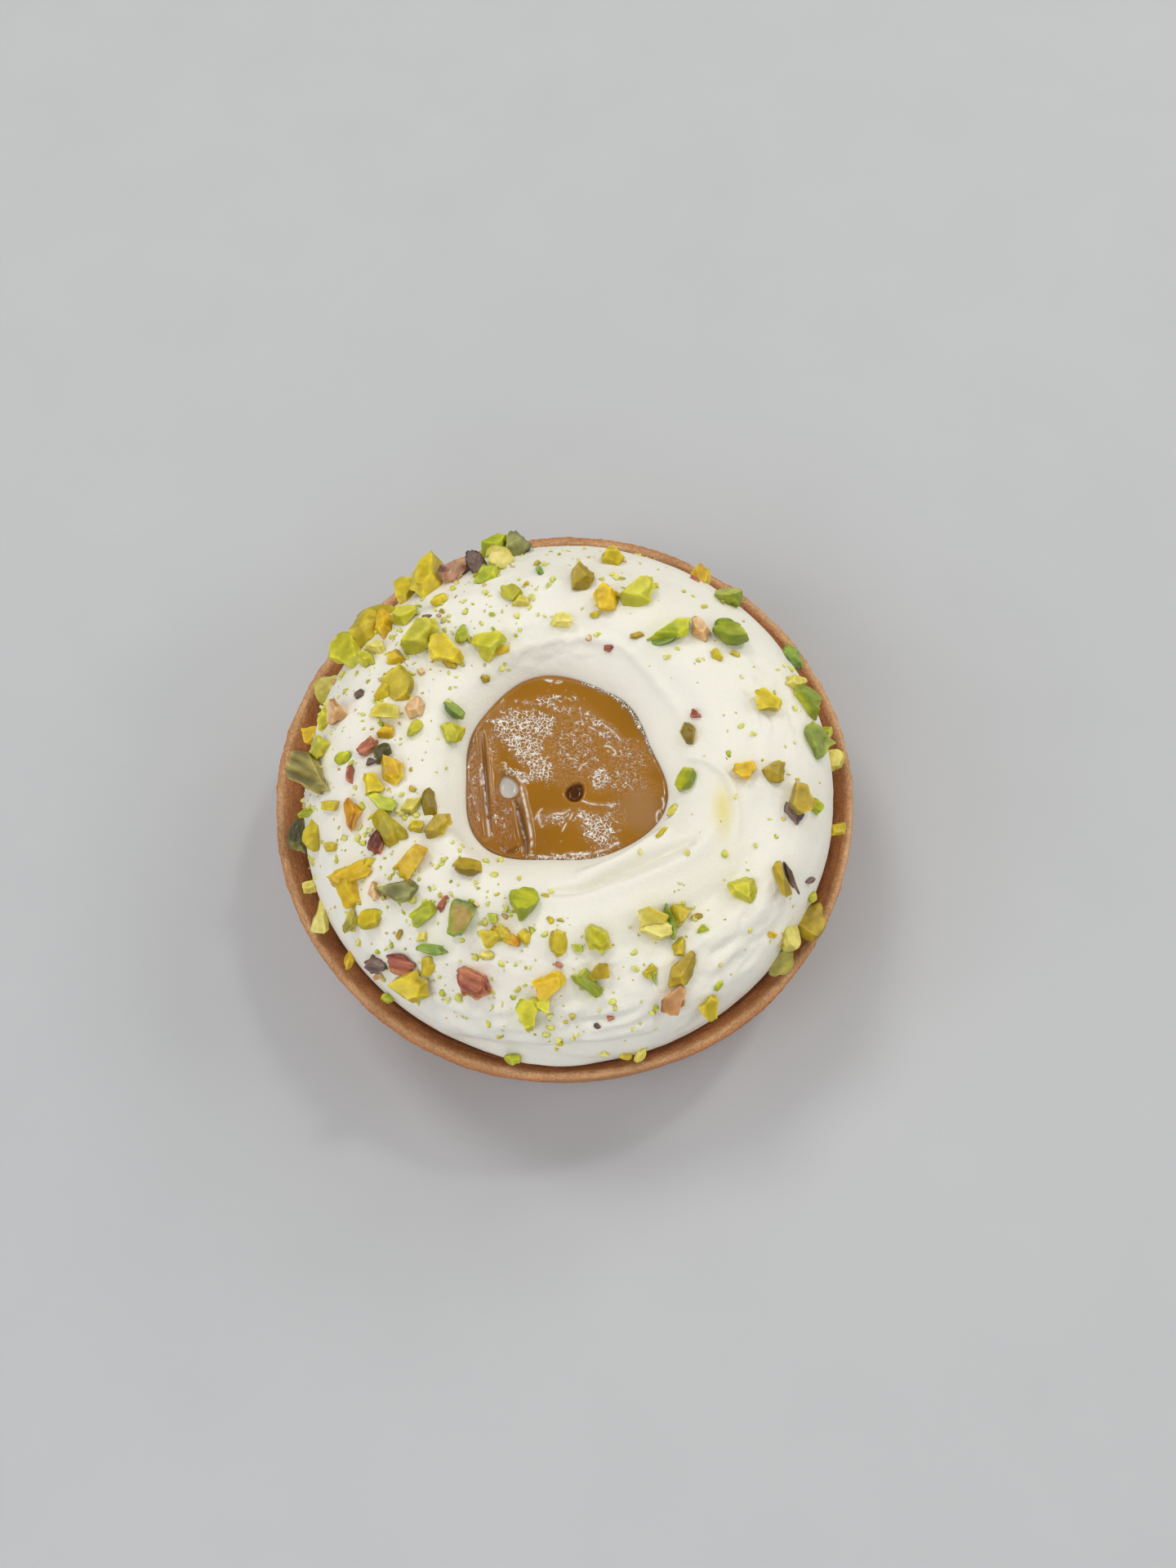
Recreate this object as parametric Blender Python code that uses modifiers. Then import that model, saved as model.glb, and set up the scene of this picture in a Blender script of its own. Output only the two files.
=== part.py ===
"""Pistachio tart: a baked pastry shell, a domed ring of whipped cream with chopped
pistachios pressed into it, and a pool of praline in the middle.

Modelled in millimetres about the tart's axis, then brought to metres. +Z is up,
the tart stands on Z = 0, and the photographed front is towards -Y.
"""

import math
import random

import bmesh
import bpy
from mathutils import Matrix, Vector, noise
from mathutils.bvhtree import BVHTree

COLLECTION = "pistachio_tart"
METRES_PER_MM = 0.001
GAP = 0.3                      # left between pieces that touch in the real tart

# Pastry shell
RIM_RADIUS = 40.0
RIM_HEIGHT = 20.0
FOOT_RADIUS = 36.6             # the wall leans in towards the foot
WALL = 2.5                     # width of the rim's inward slope, measured level
RECESS_FLOOR = 13.0            # where the cream stands
SHELL_STEPS = 96
RIM_WANDER = 0.45              # how far the hand-lined rim strays from its circle
RIM_CRAGS = 0.22

# Whipped cream
CREAM_RADIUS = 36.6
CREAM_CREST = 32.1
LIP_HEIGHT = 28.3              # cream at the edge of the pool
POOL_DEPTH = 4.2
CREAM_STEPS = 64
FRONT_BULGE = 1.1              # the cream leans on the shell at the front
FRONT_BEARING = 275.0
FRONT_SPREAD = 42.0
LEFT_DENT = 1.0                # and stands back from it on the left
LEFT_BEARING = 173.0
LEFT_SPREAD = 30.0
CREST_SHIFT = 2.4              # the spoon's ridge runs wider on the right
CREST_BEARING = 345.0
CREST_SPREAD = 52.0
SWIRL = 0.35                   # height of the soft waves left by the spoon

# Praline pool
POOL_RADIUS = 12.9
POOL_LOBES = ((1, 0.52, -151.0), (2, 0.20, -93.0), (3, 0.78, -65.0), (4, 0.38, -159.0),
              (6, 0.29, -99.0))
POOL_GAP = 0.36                # level, so that the lobes' slant leaves the full gap
PRALINE_TOP = 27.9
PRALINE_STEPS = 56
PRALINE_RELIEF = 0.18

# Chopped pistachios: bearing (deg), radius, length, width (mm), turn of the long side (deg)
NUTS = (
    (175, 32.4, 3.2, 2.9, 90), (176.5, 25.7, 2.9, 1.9, 30), (185, 22.3, 3.8, 3.0, 95),
    (188, 25, 2.9, 2.3, 110), (181.3, 33.4, 7.4, 3.9, -22), (195.4, 28.2, 4.2, 2.3, 95),
    (195.1, 24.4, 3.9, 1.8, -20), (203.8, 24.3, 4.9, 3.0, -55), (205.5, 26.4, 2.8, 1.9, 70),
    (200.3, 18.5, 3.6, 1.7, 100), (211, 18.7, 3.8, 2.7, 60), (195, 34.2, 4.4, 2.4, 100),
    (216.3, 24.2, 4.2, 3.3, 65), (209.3, 31.2, 5.2, 2.6, 22), (213, 32.4, 3.4, 2.9, 80),
    (219.9, 27.5, 5.4, 3.4, -12), (220.3, 32.3, 2.9, 2.5, 10), (217.7, 34.1, 2.9, 1.9, 60),
    (209.9, 36.9, 4.4, 2.5, 80), (191.5, 37.4, 3.9, 2.6, 85), (231.2, 19.4, 3.5, 2.3, -10),
    (239, 25.3, 4.5, 3.4, 65), (230, 27.3, 3.4, 2.4, 35), (124.4, 34, 6.8, 4.5, 100),
    (130, 35.2, 3.8, 3.5, 60), (138.4, 35, 5.2, 3.3, -10), (142.9, 34.2, 5.5, 4.0, 80),
    (140.4, 32.1, 4.8, 2.3, -75), (147.5, 30.4, 3.0, 1.8, 0), (135.6, 30.5, 3.6, 2.9, 10),
    (149.4, 33.9, 5.7, 4.7, -30), (151, 30.6, 2.9, 1.9, -40), (137.9, 26.1, 5.6, 3.9, 65),
    (135.5, 22.1, 4.3, 3.5, -5), (122.3, 19.1, 4.3, 3.9, 10), (154.3, 16.3, 3.1, 1.7, -35),
    (164.9, 15.4, 3.1, 2.6, 0), (156.4, 36.4, 4.7, 3.0, 65), (154.5, 24.5, 4.8, 3.6, -60),
    (164, 24.8, 3.7, 3.0, 0), (160.7, 20.9, 2.8, 2.5, 80), (168, 20, 3.0, 1.4, 65),
    (167, 31, 3.0, 2.8, 90), (167.4, 33, 3.2, 1.6, 85), (115, 32.4, 4.7, 4.2, 60),
    (112, 29.6, 3.4, 2.4, 30), (106.7, 35.4, 4.1, 3.7, 0), (101.2, 34.4, 3.7, 3.1, 60),
    (106.6, 31.6, 3.3, 3.2, 0), (107.3, 25, 2.8, 2.0, -20), (85, 26.4, 4.0, 3.0, 80),
    (76.5, 23.6, 4.2, 3.3, 80), (78, 31.7, 3.2, 2.8, 60), (67.5, 26.2, 5.4, 4.0, 60),
    (57.6, 35.7, 3.4, 2.4, 100), (49.2, 34.3, 3.9, 3.3, -60), (52.3, 22.7, 5.9, 3.1, 18),
    (45.6, 26, 3.4, 2.5, -60), (39.6, 28.8, 4.6, 3.7, -10), (13.1, 16.7, 2.8, 2.0, -50),
    (17.5, 28, 3.5, 2.7, 10), (30, 35.9, 3.7, 2.5, -60), (21.9, 33.4, 3.0, 2.1, 15),
    (17.2, 34.2, 4.6, 3.3, -25), (351.5, 16, 3.3, 2.3, 60), (356.3, 23.3, 2.7, 2.4, 60),
    (355.8, 27.4, 2.9, 2.8, 20), (350.1, 30.6, 3.9, 3.1, -60), (6.9, 33.6, 4.2, 3.2, -45),
    (5.9, 37, 3.1, 2.4, 75), (323.1, 28.6, 3.6, 2.9, -40), (330.2, 31.9, 3.9, 2.3, -65),
    (329.2, 38, 4.7, 3.3, 75), (323.1, 36.4, 3.7, 2.9, 50), (318.9, 37.8, 3.9, 2.5, 55),
    (268.5, 24.9, 3.3, 2.1, 88), (280, 24.6, 3.4, 3.0, -20), (297, 24.7, 4.3, 3.7, 15),
    (304.8, 25.1, 2.9, 2.4, 40), (298.2, 31.4, 4.9, 2.6, 58), (293.7, 33.8, 3.9, 2.4, 75),
    (300.5, 36.3, 2.7, 2.4, 45), (278.3, 28.5, 2.8, 1.9, 10), (275.7, 29.6, 4.1, 2.1, -50),
    (266.9, 29.8, 3.8, 2.8, 30), (255.6, 20.5, 4.5, 3.5, 75), (251.9, 25.1, 4.7, 2.5, -8),
    (237, 30, 3.8, 1.4, -5), (249.3, 31.4, 4.3, 3.5, -20), (262, 33, 3.7, 3.0, 70),
    (237, 34.8, 4.5, 3.9, -40), (232.5, 33.6, 3.7, 2.4, -15), (227.4, 35.3, 2.9, 2.3, -10),
)
NUT_POINTS = 11                # corners drawn for each chunk's hull
NUT_GROWTH = 1.15              # makes up for what a hull of few corners cuts off
NUT_BLUNT = 3.5                # 2 is an ellipsoid, more is boxier
NUT_HEIGHT = (0.65, 0.9)       # part of the width
NUT_SUNK = 0.27                # part of the height pressed into the cream
NUT_UPRIGHT = 0.9              # how far a chunk stands up from the slope it lies on
NUT_PERCH = 0.5                # how far its inner end rides up the slope instead of sinking
NUT_SEED = 11


def lump(bearing, centre, spread):
    """One soft bump of height 1 round the clock, in degrees."""
    away = (bearing - centre + 180.0) % 360.0 - 180.0
    return math.exp(-(away / spread) ** 2)


def blend(low, high, value):
    """0 below low, 1 above high, eased between."""
    part = min(1.0, max(0.0, (value - low) / (high - low)))
    return part * part * (3.0 - 2.0 * part)


def pool_ratio(bearing):
    """The pool's edge at a bearing, as a part of its mean radius."""
    lobes = sum(size * math.cos(math.radians(count * bearing - turn))
                for count, size, turn in POOL_LOBES)
    return 1.0 + lobes / POOL_RADIUS


def spun(name, section, steps):
    """A closed solid spun about Z from a section that starts and ends on the axis."""
    mesh = bpy.data.meshes.new(name)
    bm = bmesh.new()
    points = [bm.verts.new((radius, 0.0, height)) for radius, height in section]
    for first, second in zip(points, points[1:]):
        bm.edges.new((first, second))
    bm.to_mesh(mesh)
    bm.free()
    body = bpy.data.objects.new(name, mesh)
    bpy.context.scene.collection.children[COLLECTION].objects.link(body)
    screw = body.modifiers.new("spin", "SCREW")
    screw.steps = steps
    screw.render_steps = steps
    screw.use_merge_vertices = True
    screw.merge_threshold = 0.0001
    screw.use_normal_calculate = True
    apply_modifier(body, screw)
    return body


def apply_modifier(body, modifier):
    """Makes one modifier's result the object's own mesh."""
    bpy.context.view_layer.objects.active = body
    bpy.ops.object.modifier_apply(modifier=modifier.name)


def shape(body, move):
    """Moves each corner of a body by move(radius, bearing, height), all in mm."""
    for vertex in body.data.vertices:
        x, y, height = vertex.co
        radius = math.hypot(x, y)
        bearing = math.degrees(math.atan2(y, x)) % 360.0
        radius, height = move(radius, bearing, height)
        angle = math.radians(bearing)
        vertex.co = (radius * math.cos(angle), radius * math.sin(angle), height)
    body.data.update()


# ---------------------------------------------------------------- pastry shell

def shell_move(radius, bearing, height):
    """The rim wanders off its circle and its top edge is cragged."""
    if radius < RIM_RADIUS - WALL - 0.2 or height < RECESS_FLOOR:
        return radius, height
    share = blend(RECESS_FLOOR, RIM_HEIGHT - 1.0, height)
    around = Vector((math.cos(math.radians(bearing)), math.sin(math.radians(bearing)), 0.0))
    wander = RIM_WANDER * noise.noise(around * 1.6)
    crag = RIM_CRAGS * noise.noise(around * 9.0 + Vector((0.0, 0.0, radius * 0.6)))
    if radius < RIM_RADIUS - 1.6:
        wander = max(0.0, wander)
    return radius + share * (wander + 0.5 * crag), height + share * crag


def pastry_shell():
    """A solid foot with an inward-sloped rim round a bowl-shaped recess."""
    section = (
        (0.0, RECESS_FLOOR),
        (RIM_RADIUS * 0.5, RECESS_FLOOR),
        (RIM_RADIUS - 7.6, RECESS_FLOOR),
        (RIM_RADIUS - 5.6, RECESS_FLOOR + 0.8),
        (RIM_RADIUS - 4.2, RECESS_FLOOR + 2.4),
        (RIM_RADIUS - 3.2, RIM_HEIGHT - 2.9),
        (RIM_RADIUS - WALL, RIM_HEIGHT - 1.8),
        (RIM_RADIUS - 1.8, RIM_HEIGHT - 0.9),
        (RIM_RADIUS - 1.0, RIM_HEIGHT - 0.25),
        (RIM_RADIUS - 0.35, RIM_HEIGHT),
        (RIM_RADIUS, RIM_HEIGHT - 0.6),
        (RIM_RADIUS - 1.0, RIM_HEIGHT * 0.68),
        (RIM_RADIUS - 2.2, RIM_HEIGHT * 0.32),
        (FOOT_RADIUS, 0.9),
        (FOOT_RADIUS - 0.9, 0.0),
        (0.0, 0.0),
    )
    shell = spun("pastry_shell", section, SHELL_STEPS)
    shape(shell, shell_move)
    return shell


# --------------------------------------------------------------- whipped cream

def edge_stray(bearing):
    """How far the cream's outer edge lies outside its plain circle."""
    front = FRONT_BULGE * lump(bearing, FRONT_BEARING, FRONT_SPREAD)
    return front - LEFT_DENT * lump(bearing, LEFT_BEARING, LEFT_SPREAD)


def cream_move(radius, bearing, height):
    """Pool outline, the wider crest on the right, the uneven edge and soft waves."""
    near_pool = 1.0 - blend(POOL_RADIUS + 0.5, POOL_RADIUS + 6.0, radius)
    moved = radius * (1.0 + near_pool * (pool_ratio(bearing) - 1.0))
    crest = blend(POOL_RADIUS + 0.6, 18.0, radius) * (1.0 - blend(19.0, 30.0, radius))
    moved += CREST_SHIFT * crest * lump(bearing, CREST_BEARING, CREST_SPREAD)
    low = blend(16.8, 20.0, height)
    moved += low * blend(28.0, 35.5, radius) * edge_stray(bearing)
    top = blend(26.0, 30.0, height) * blend(15.0, 19.0, radius)
    turn = math.radians(bearing) * 2.0 - radius * 0.32
    return moved, height + SWIRL * top * math.sin(turn)


def whipped_cream():
    """The domed ring of cream, solid under the pool."""
    foot = RECESS_FLOOR + GAP
    pool_floor = LIP_HEIGHT - POOL_DEPTH
    section = (
        (0.0, pool_floor),
        (POOL_RADIUS * 0.78, pool_floor),
        (POOL_RADIUS - 0.5, pool_floor + 1.1),
        (POOL_RADIUS + POOL_GAP, PRALINE_TOP - 0.7),
        (POOL_RADIUS + POOL_GAP + 0.4, LIP_HEIGHT),
        (15.1, 29.9),
        (16.7, 31.2),
        (18.9, CREAM_CREST - 0.1),
        (21.9, CREAM_CREST),
        (25.4, 31.8),
        (28.8, 30.8),
        (31.9, 29.2),
        (34.4, 27.0),
        (35.9, 24.5),
        (CREAM_RADIUS, 21.9),
        (CREAM_RADIUS, 20.0),
        (CREAM_RADIUS - 0.25, 18.5),
        (CREAM_RADIUS - 0.6, 17.0),
        (CREAM_RADIUS - 1.3, foot + 2.3),
        (CREAM_RADIUS - 2.6, foot + 0.8),
        (CREAM_RADIUS - 4.4, foot),
        (0.0, foot),
    )
    cream = spun("whipped_cream", section, CREAM_STEPS)
    shape(cream, cream_move)
    return cream


# ------------------------------------------------------------------ pistachios

def nut_seat(tree, bearing, radius, reach):
    """Where a chunk sits and which way is up: on the cream, or bridging to the rim."""
    angle = math.radians(bearing)
    outward = Vector((math.cos(angle), math.sin(angle), 0.0))
    if radius > CREAM_RADIUS - 1.5:
        radius = min(radius, CREAM_RADIUS + edge_stray(bearing) + 0.45 * reach)
    point, normal, _, _ = tree.ray_cast(outward * radius + Vector((0.0, 0.0, 60.0)),
                                        Vector((0.0, 0.0, -1.0)))
    if point is None or point.z < RIM_HEIGHT + 1.5:
        point = outward * radius + Vector((0.0, 0.0, RIM_HEIGHT + 1.5))
        normal = (outward * 0.35 + Vector((0.0, 0.0, 1.0))).normalized()
    return point, normal


def nut_chunk(name, rng, length, width, height):
    """One broken piece: the hull of corners drawn on a blunt, boxy round."""
    bm = bmesh.new()
    for index in range(NUT_POINTS):
        level = 1.0 - 2.0 * (index + 0.5) / NUT_POINTS
        angle = index * 2.4 + rng.uniform(-0.5, 0.5)
        across = math.sqrt(1.0 - level * level)
        way = Vector((across * math.cos(angle), across * math.sin(angle), level))
        blunt = sum(abs(part) ** NUT_BLUNT for part in way) ** (-1.0 / NUT_BLUNT)
        corner = way * blunt * NUT_GROWTH * rng.uniform(0.42, 0.5)
        bm.verts.new((corner.x * length, corner.y * width, corner.z * height))
    hull = bmesh.ops.convex_hull(bm, input=bm.verts[:])
    spare = set(hull["geom_interior"]) | set(hull["geom_unused"])
    bmesh.ops.delete(bm, geom=[item for item in spare if isinstance(item, bmesh.types.BMVert)],
                     context="VERTS")
    bmesh.ops.recalc_face_normals(bm, faces=bm.faces[:])
    mesh = bpy.data.meshes.new(name)
    bm.to_mesh(mesh)
    bm.free()
    return bpy.data.objects.new(name, mesh)


def chopped_nuts(cream):
    """Every chunk seated on the bare cream, clear of the shell's rim."""
    rng = random.Random(NUT_SEED)
    tree = BVHTree.FromObject(cream, bpy.context.evaluated_depsgraph_get())
    pile = bpy.data.collections.new("nuts_to_join")
    bpy.context.scene.collection.children.link(pile)
    for index, (bearing, radius, length, width, turn) in enumerate(NUTS):
        height = max(1.2, width * rng.uniform(*NUT_HEIGHT))
        aside = math.radians(turn - bearing)
        reach = 0.5 * math.hypot(length * math.cos(aside), width * math.sin(aside))
        point, slope = nut_seat(tree, bearing, radius, reach)
        normal = (slope + Vector((0.0, 0.0, NUT_UPRIGHT))).normalized()
        along = Vector((math.cos(math.radians(turn)), math.sin(math.radians(turn)), 0.0))
        along = (along - normal * along.dot(normal)).normalized()
        frame = Matrix((along, normal.cross(along), normal)).transposed().to_4x4()
        chunk = nut_chunk(f"nut_{index}", rng, length, width, height)
        seat = point + normal * height * (0.5 - NUT_SUNK)
        seat.z += NUT_PERCH * reach * math.sin(slope.angle(normal))
        chunk.data.transform(Matrix.Translation(seat) @ frame)
        lowest = min(vertex.co.z for vertex in chunk.data.vertices)
        furthest = max(vertex.co.xy.length for vertex in chunk.data.vertices)
        if furthest > CREAM_RADIUS + 0.6 and lowest < RIM_HEIGHT + 2.0 * GAP:
            chunk.data.transform(Matrix.Translation((0.0, 0.0, RIM_HEIGHT + 2.0 * GAP - lowest)))
        pile.objects.link(chunk)
    return pile


def keep_largest(body):
    """Drops loose scraps and sealed hollows that joining can leave."""
    bm = bmesh.new()
    bm.from_mesh(body.data)
    islands = []
    unseen = set(bm.verts)
    while unseen:
        stack = [unseen.pop()]
        island = set(stack)
        while stack:
            for edge in stack.pop().link_edges:
                for vertex in edge.verts:
                    if vertex in unseen:
                        unseen.remove(vertex)
                        island.add(vertex)
                        stack.append(vertex)
        islands.append(island)
    islands.sort(key=len)
    for island in islands[:-1]:
        bmesh.ops.delete(bm, geom=list(island), context="VERTS")
    bmesh.ops.triangulate(bm, faces=bm.faces[:])
    bm.to_mesh(body.data)
    bm.free()


def fuse(body, pile):
    """Joins a collection of chunks to a body, then removes the collection's objects."""
    union = body.modifiers.new("join_nuts", "BOOLEAN")
    union.operation = "UNION"
    union.operand_type = "COLLECTION"
    union.collection = pile
    union.solver = "EXACT"
    apply_modifier(body, union)
    for chunk in pile.objects[:]:
        bpy.data.objects.remove(chunk)
    bpy.data.collections.remove(pile)
    keep_largest(body)


# --------------------------------------------------------------------- praline

def praline_move(radius, bearing, height):
    """The pool's outline, and a slightly uneven poured surface."""
    moved = radius * pool_ratio(bearing)
    if height > PRALINE_TOP - 0.6:
        angle = math.radians(bearing)
        spot = Vector((moved * math.cos(angle), moved * math.sin(angle), 0.0))
        height += PRALINE_RELIEF * noise.noise(spot * 0.22)
    return moved, height


def praline_centre():
    """The poured pool, a flat-bottomed disc that fills the dip in the cream."""
    floor = LIP_HEIGHT - POOL_DEPTH + GAP
    section = (
        (0.0, PRALINE_TOP),
        (POOL_RADIUS * 0.25, PRALINE_TOP),
        (POOL_RADIUS * 0.5, PRALINE_TOP),
        (POOL_RADIUS * 0.75, PRALINE_TOP),
        (POOL_RADIUS * 0.93, PRALINE_TOP - 0.05),
        (POOL_RADIUS, PRALINE_TOP - 0.7),
        (POOL_RADIUS - 0.9, floor + 1.2),
        (POOL_RADIUS * 0.74, floor),
        (0.0, floor),
    )
    pool = spun("praline_centre", section, PRALINE_STEPS)
    shape(pool, praline_move)
    return pool


# ------------------------------------------------------------------- materials

def painted(body, name, colour, roughness):
    """Gives a body its own plain material."""
    material = bpy.data.materials.new(name)
    material.use_nodes = True
    surface = material.node_tree.nodes["Principled BSDF"]
    surface.inputs["Base Color"].default_value = (*colour, 1.0)
    surface.inputs["Roughness"].default_value = roughness
    surface.inputs["Metallic"].default_value = 0.0
    material.diffuse_color = (*colour, 1.0)
    body.data.materials.clear()
    body.data.materials.append(material)


def pastry_material(body):
    """Baked, golden-brown sweet pastry."""
    painted(body, "baked_pastry", (0.39, 0.14, 0.042), 0.75)


def cream_material(body):
    """Satin white whipped cream."""
    painted(body, "whipped_cream", (0.84, 0.84, 0.76), 0.5)


def praline_material(body):
    """Glossy caramel-brown nut praline."""
    painted(body, "nut_praline", (0.36, 0.13, 0.013), 0.25)


def clear_scene():
    """Removes whatever the scene held."""
    for item in bpy.data.objects[:]:
        bpy.data.objects.remove(item)
    for group in bpy.data.collections[:]:
        bpy.data.collections.remove(group)


def main():
    """Builds the tart's three parts in one collection, in metres."""
    clear_scene()
    group = bpy.data.collections.new(COLLECTION)
    bpy.context.scene.collection.children.link(group)
    shell = pastry_shell()
    cream = whipped_cream()
    fuse(cream, chopped_nuts(cream))
    pool = praline_centre()
    pastry_material(shell)
    cream_material(cream)
    praline_material(pool)
    for body in (shell, cream, pool):
        body.data.transform(Matrix.Scale(METRES_PER_MM, 4))
        body.data.update()


main()
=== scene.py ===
"""Dressed view of a pistachio tart: baked shell, whipped cream, chopped pistachios
and a poured praline centre, on a plain pale floor under soft studio light.

Sizes are in millimetres about the tart's axis, and bearings in degrees from the right,
turning to the far side. Meshes are shaped in millimetres and scaled to metres once,
when a piece is finished, so that they sit where the frame is.
"""

from __future__ import annotations

import logging
import math
import random
from dataclasses import dataclass, field
from enum import Enum
from typing import Callable

import bpy
import numpy as np
from mathutils import Matrix, Vector, noise
from mathutils.bvhtree import BVHTree

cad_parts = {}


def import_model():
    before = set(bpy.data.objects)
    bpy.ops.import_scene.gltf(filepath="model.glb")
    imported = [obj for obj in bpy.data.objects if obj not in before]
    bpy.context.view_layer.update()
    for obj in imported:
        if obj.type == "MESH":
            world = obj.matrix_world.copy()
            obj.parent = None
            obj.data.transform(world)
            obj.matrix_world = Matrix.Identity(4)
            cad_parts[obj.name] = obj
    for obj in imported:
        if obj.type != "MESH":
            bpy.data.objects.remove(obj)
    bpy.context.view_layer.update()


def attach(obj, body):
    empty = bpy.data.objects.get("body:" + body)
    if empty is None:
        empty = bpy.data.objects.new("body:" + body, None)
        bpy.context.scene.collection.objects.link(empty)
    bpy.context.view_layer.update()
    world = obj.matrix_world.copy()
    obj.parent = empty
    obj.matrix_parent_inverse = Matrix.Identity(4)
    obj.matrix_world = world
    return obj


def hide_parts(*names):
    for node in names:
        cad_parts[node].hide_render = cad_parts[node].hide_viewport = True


LOG = logging.getLogger("tart")
METRES_PER_MM = 0.001

# Faces of a nut that meet at more than this (deg) show a broken edge
BROKEN_EDGE = 38.0
# Numbers of a Mix node's inputs and its output, when it mixes colours
FACTOR, FIRST, SECOND, MIXED = 0, 6, 7, 2

Section = tuple[tuple[float, float], ...]
Links = dict[str | int, object]


# ---------------------------------------------------------------------------- helpers

def lump(bearing: float, centre: float, spread: float) -> float:
    """Gives one soft bump round the clock.

    Args:
        bearing: Where to read it, in degrees.
        centre: The bump's bearing.
        spread: Degrees at which it has fallen to about a third.

    Returns:
        A height from 0 to 1.
    """
    away = (bearing - centre + 180.0) % 360.0 - 180.0
    return math.exp(-(away / spread) ** 2)


def blend(low: float, high: float, value: float) -> float:
    """Gives 0 below low, 1 above high and an eased value between.

    Args:
        low: Where it leaves 0.
        high: Where it reaches 1.
        value: Where to read it.

    Returns:
        A share from 0 to 1.
    """
    part = min(1.0, max(0.0, (value - low) / (high - low)))
    return part * part * (3.0 - 2.0 * part)


def bell(values: np.ndarray, middle: float, width: float) -> np.ndarray:
    """Gives 1 at the middle, falling to about a third at a width to either side."""
    return np.exp(-((values - middle) / width) ** 2)


def ramp(values: np.ndarray, start: float, span: float, least: float = 0.0) -> np.ndarray:
    """Gives the least value at the start, rising straight to 1 at a span past it."""
    return np.clip((values - start) / span, least, 1.0)


def linear(code: str) -> tuple[float, float, float]:
    """Turns an sRGB hex colour such as "D9BE2A" into linear red, green and blue.

    Args:
        code: Six hex digits.

    Returns:
        The three linear values.
    """
    parts = [int(code[at:at + 2], 16) / 255.0 for at in (0, 2, 4)]
    return tuple(part / 12.92 if part <= 0.04045 else ((part + 0.055) / 1.055) ** 2.4
                 for part in parts)


def tint(tone: np.ndarray, code: str, share: np.ndarray) -> np.ndarray:
    """Moves colours towards another.

    Args:
        tone: Rows of linear red, green and blue, or one such row for all corners.
        code: The other colour, as sRGB hex.
        share: How far each corner goes, from 0 to 1.

    Returns:
        A linear colour for each corner.
    """
    return tone + (np.array(linear(code)) - tone) * share[:, None]


def connect(node: bpy.types.Node, links: Links) -> None:
    """Links or sets a shader node's inputs.

    Args:
        node: The node.
        links: Input name or number to an output socket, or to a value.
    """
    for key, value in links.items():
        if isinstance(value, bpy.types.NodeSocket):
            node.id_data.links.new(value, node.inputs[key])
        else:
            node.inputs[key].default_value = value


def add_node(tree: bpy.types.NodeTree, kind: str, links: Links | None = None,
             **settings: object) -> bpy.types.Node:
    """Adds one shader node.

    Args:
        tree: The material's node tree.
        kind: The node's type without its "ShaderNode" prefix.
        links: Input name or number to an output socket, or to a value.
        **settings: Properties of the node itself.

    Returns:
        The new node.
    """
    made = tree.nodes.new("ShaderNode" + kind)
    for key, value in settings.items():
        setattr(made, key, value)
    connect(made, links or {})
    return made


def start_material(name: str) -> tuple[bpy.types.Material, bpy.types.Node, bpy.types.NodeSocket]:
    """Starts a material.

    Args:
        name: The material's name.

    Returns:
        The material, its surface node and the object coordinates for its patterns.
    """
    material = bpy.data.materials.new(name)
    material.use_nodes = True
    surface = material.node_tree.nodes["Principled BSDF"]
    return material, surface, add_node(material.node_tree, "TexCoord").outputs["Object"]


def cells(size_mm: float) -> float:
    """Gives the Scale of a pattern whose cells are so many mm across."""
    return 1.0 / (size_mm * METRES_PER_MM)


def deselect() -> None:
    """Deselects everything, so that an operator acts on the new piece alone."""
    bpy.ops.object.select_all(action="DESELECT")


def lathe(name: str, section: Section, steps: int, levels: int) -> bpy.types.Object:
    """Turns a closed solid ring by ring, then rounds it by subdivision.

    Args:
        name: The object's name.
        section: Radius and height of each ring in mm, from the axis on top, down the
            outer side, to the axis underneath.
        steps: Corners of a ring.
        levels: Subdivision levels, applied.

    Returns:
        The solid, at the origin, in mm.
    """
    deselect()
    radius, height = section[1]
    bpy.ops.mesh.primitive_circle_add(vertices=steps, radius=radius, fill_type="TRIFAN",
                                      location=(0.0, 0.0, height))
    body = bpy.context.object
    body.name = name
    bpy.ops.object.transform_apply(location=True)
    bpy.ops.object.mode_set(mode="EDIT")
    bpy.ops.mesh.select_mode(type="EDGE")
    bpy.ops.mesh.select_all(action="DESELECT")
    bpy.ops.mesh.select_non_manifold()
    for (radius, height), (next_radius, next_height) in zip(section[1:-2], section[2:-1]):
        bpy.ops.mesh.extrude_edges_move(
            TRANSFORM_OT_translate={"value": (0.0, 0.0, next_height - height)})
        ratio = next_radius / radius
        bpy.ops.transform.resize(value=(ratio, ratio, 1.0),
                                 center_override=(0.0, 0.0, next_height))
    bpy.ops.mesh.edge_face_add()
    bpy.ops.mesh.select_all(action="SELECT")
    bpy.ops.mesh.normals_make_consistent(inside=False)
    bpy.ops.object.mode_set(mode="OBJECT")
    rounded = body.modifiers.new("rounded", "SUBSURF")
    rounded.levels = levels
    rounded.render_levels = levels
    bpy.ops.object.modifier_apply(modifier=rounded.name)
    bpy.ops.object.shade_smooth()
    return body


def corners(body: bpy.types.Object) -> np.ndarray:
    """Reads a mesh's corners as an array of rows x, y, z.

    Args:
        body: The mesh object.

    Returns:
        One row for each corner.
    """
    flat = np.empty(len(body.data.vertices) * 3)
    body.data.vertices.foreach_get("co", flat)
    return flat.reshape(-1, 3)


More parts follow.
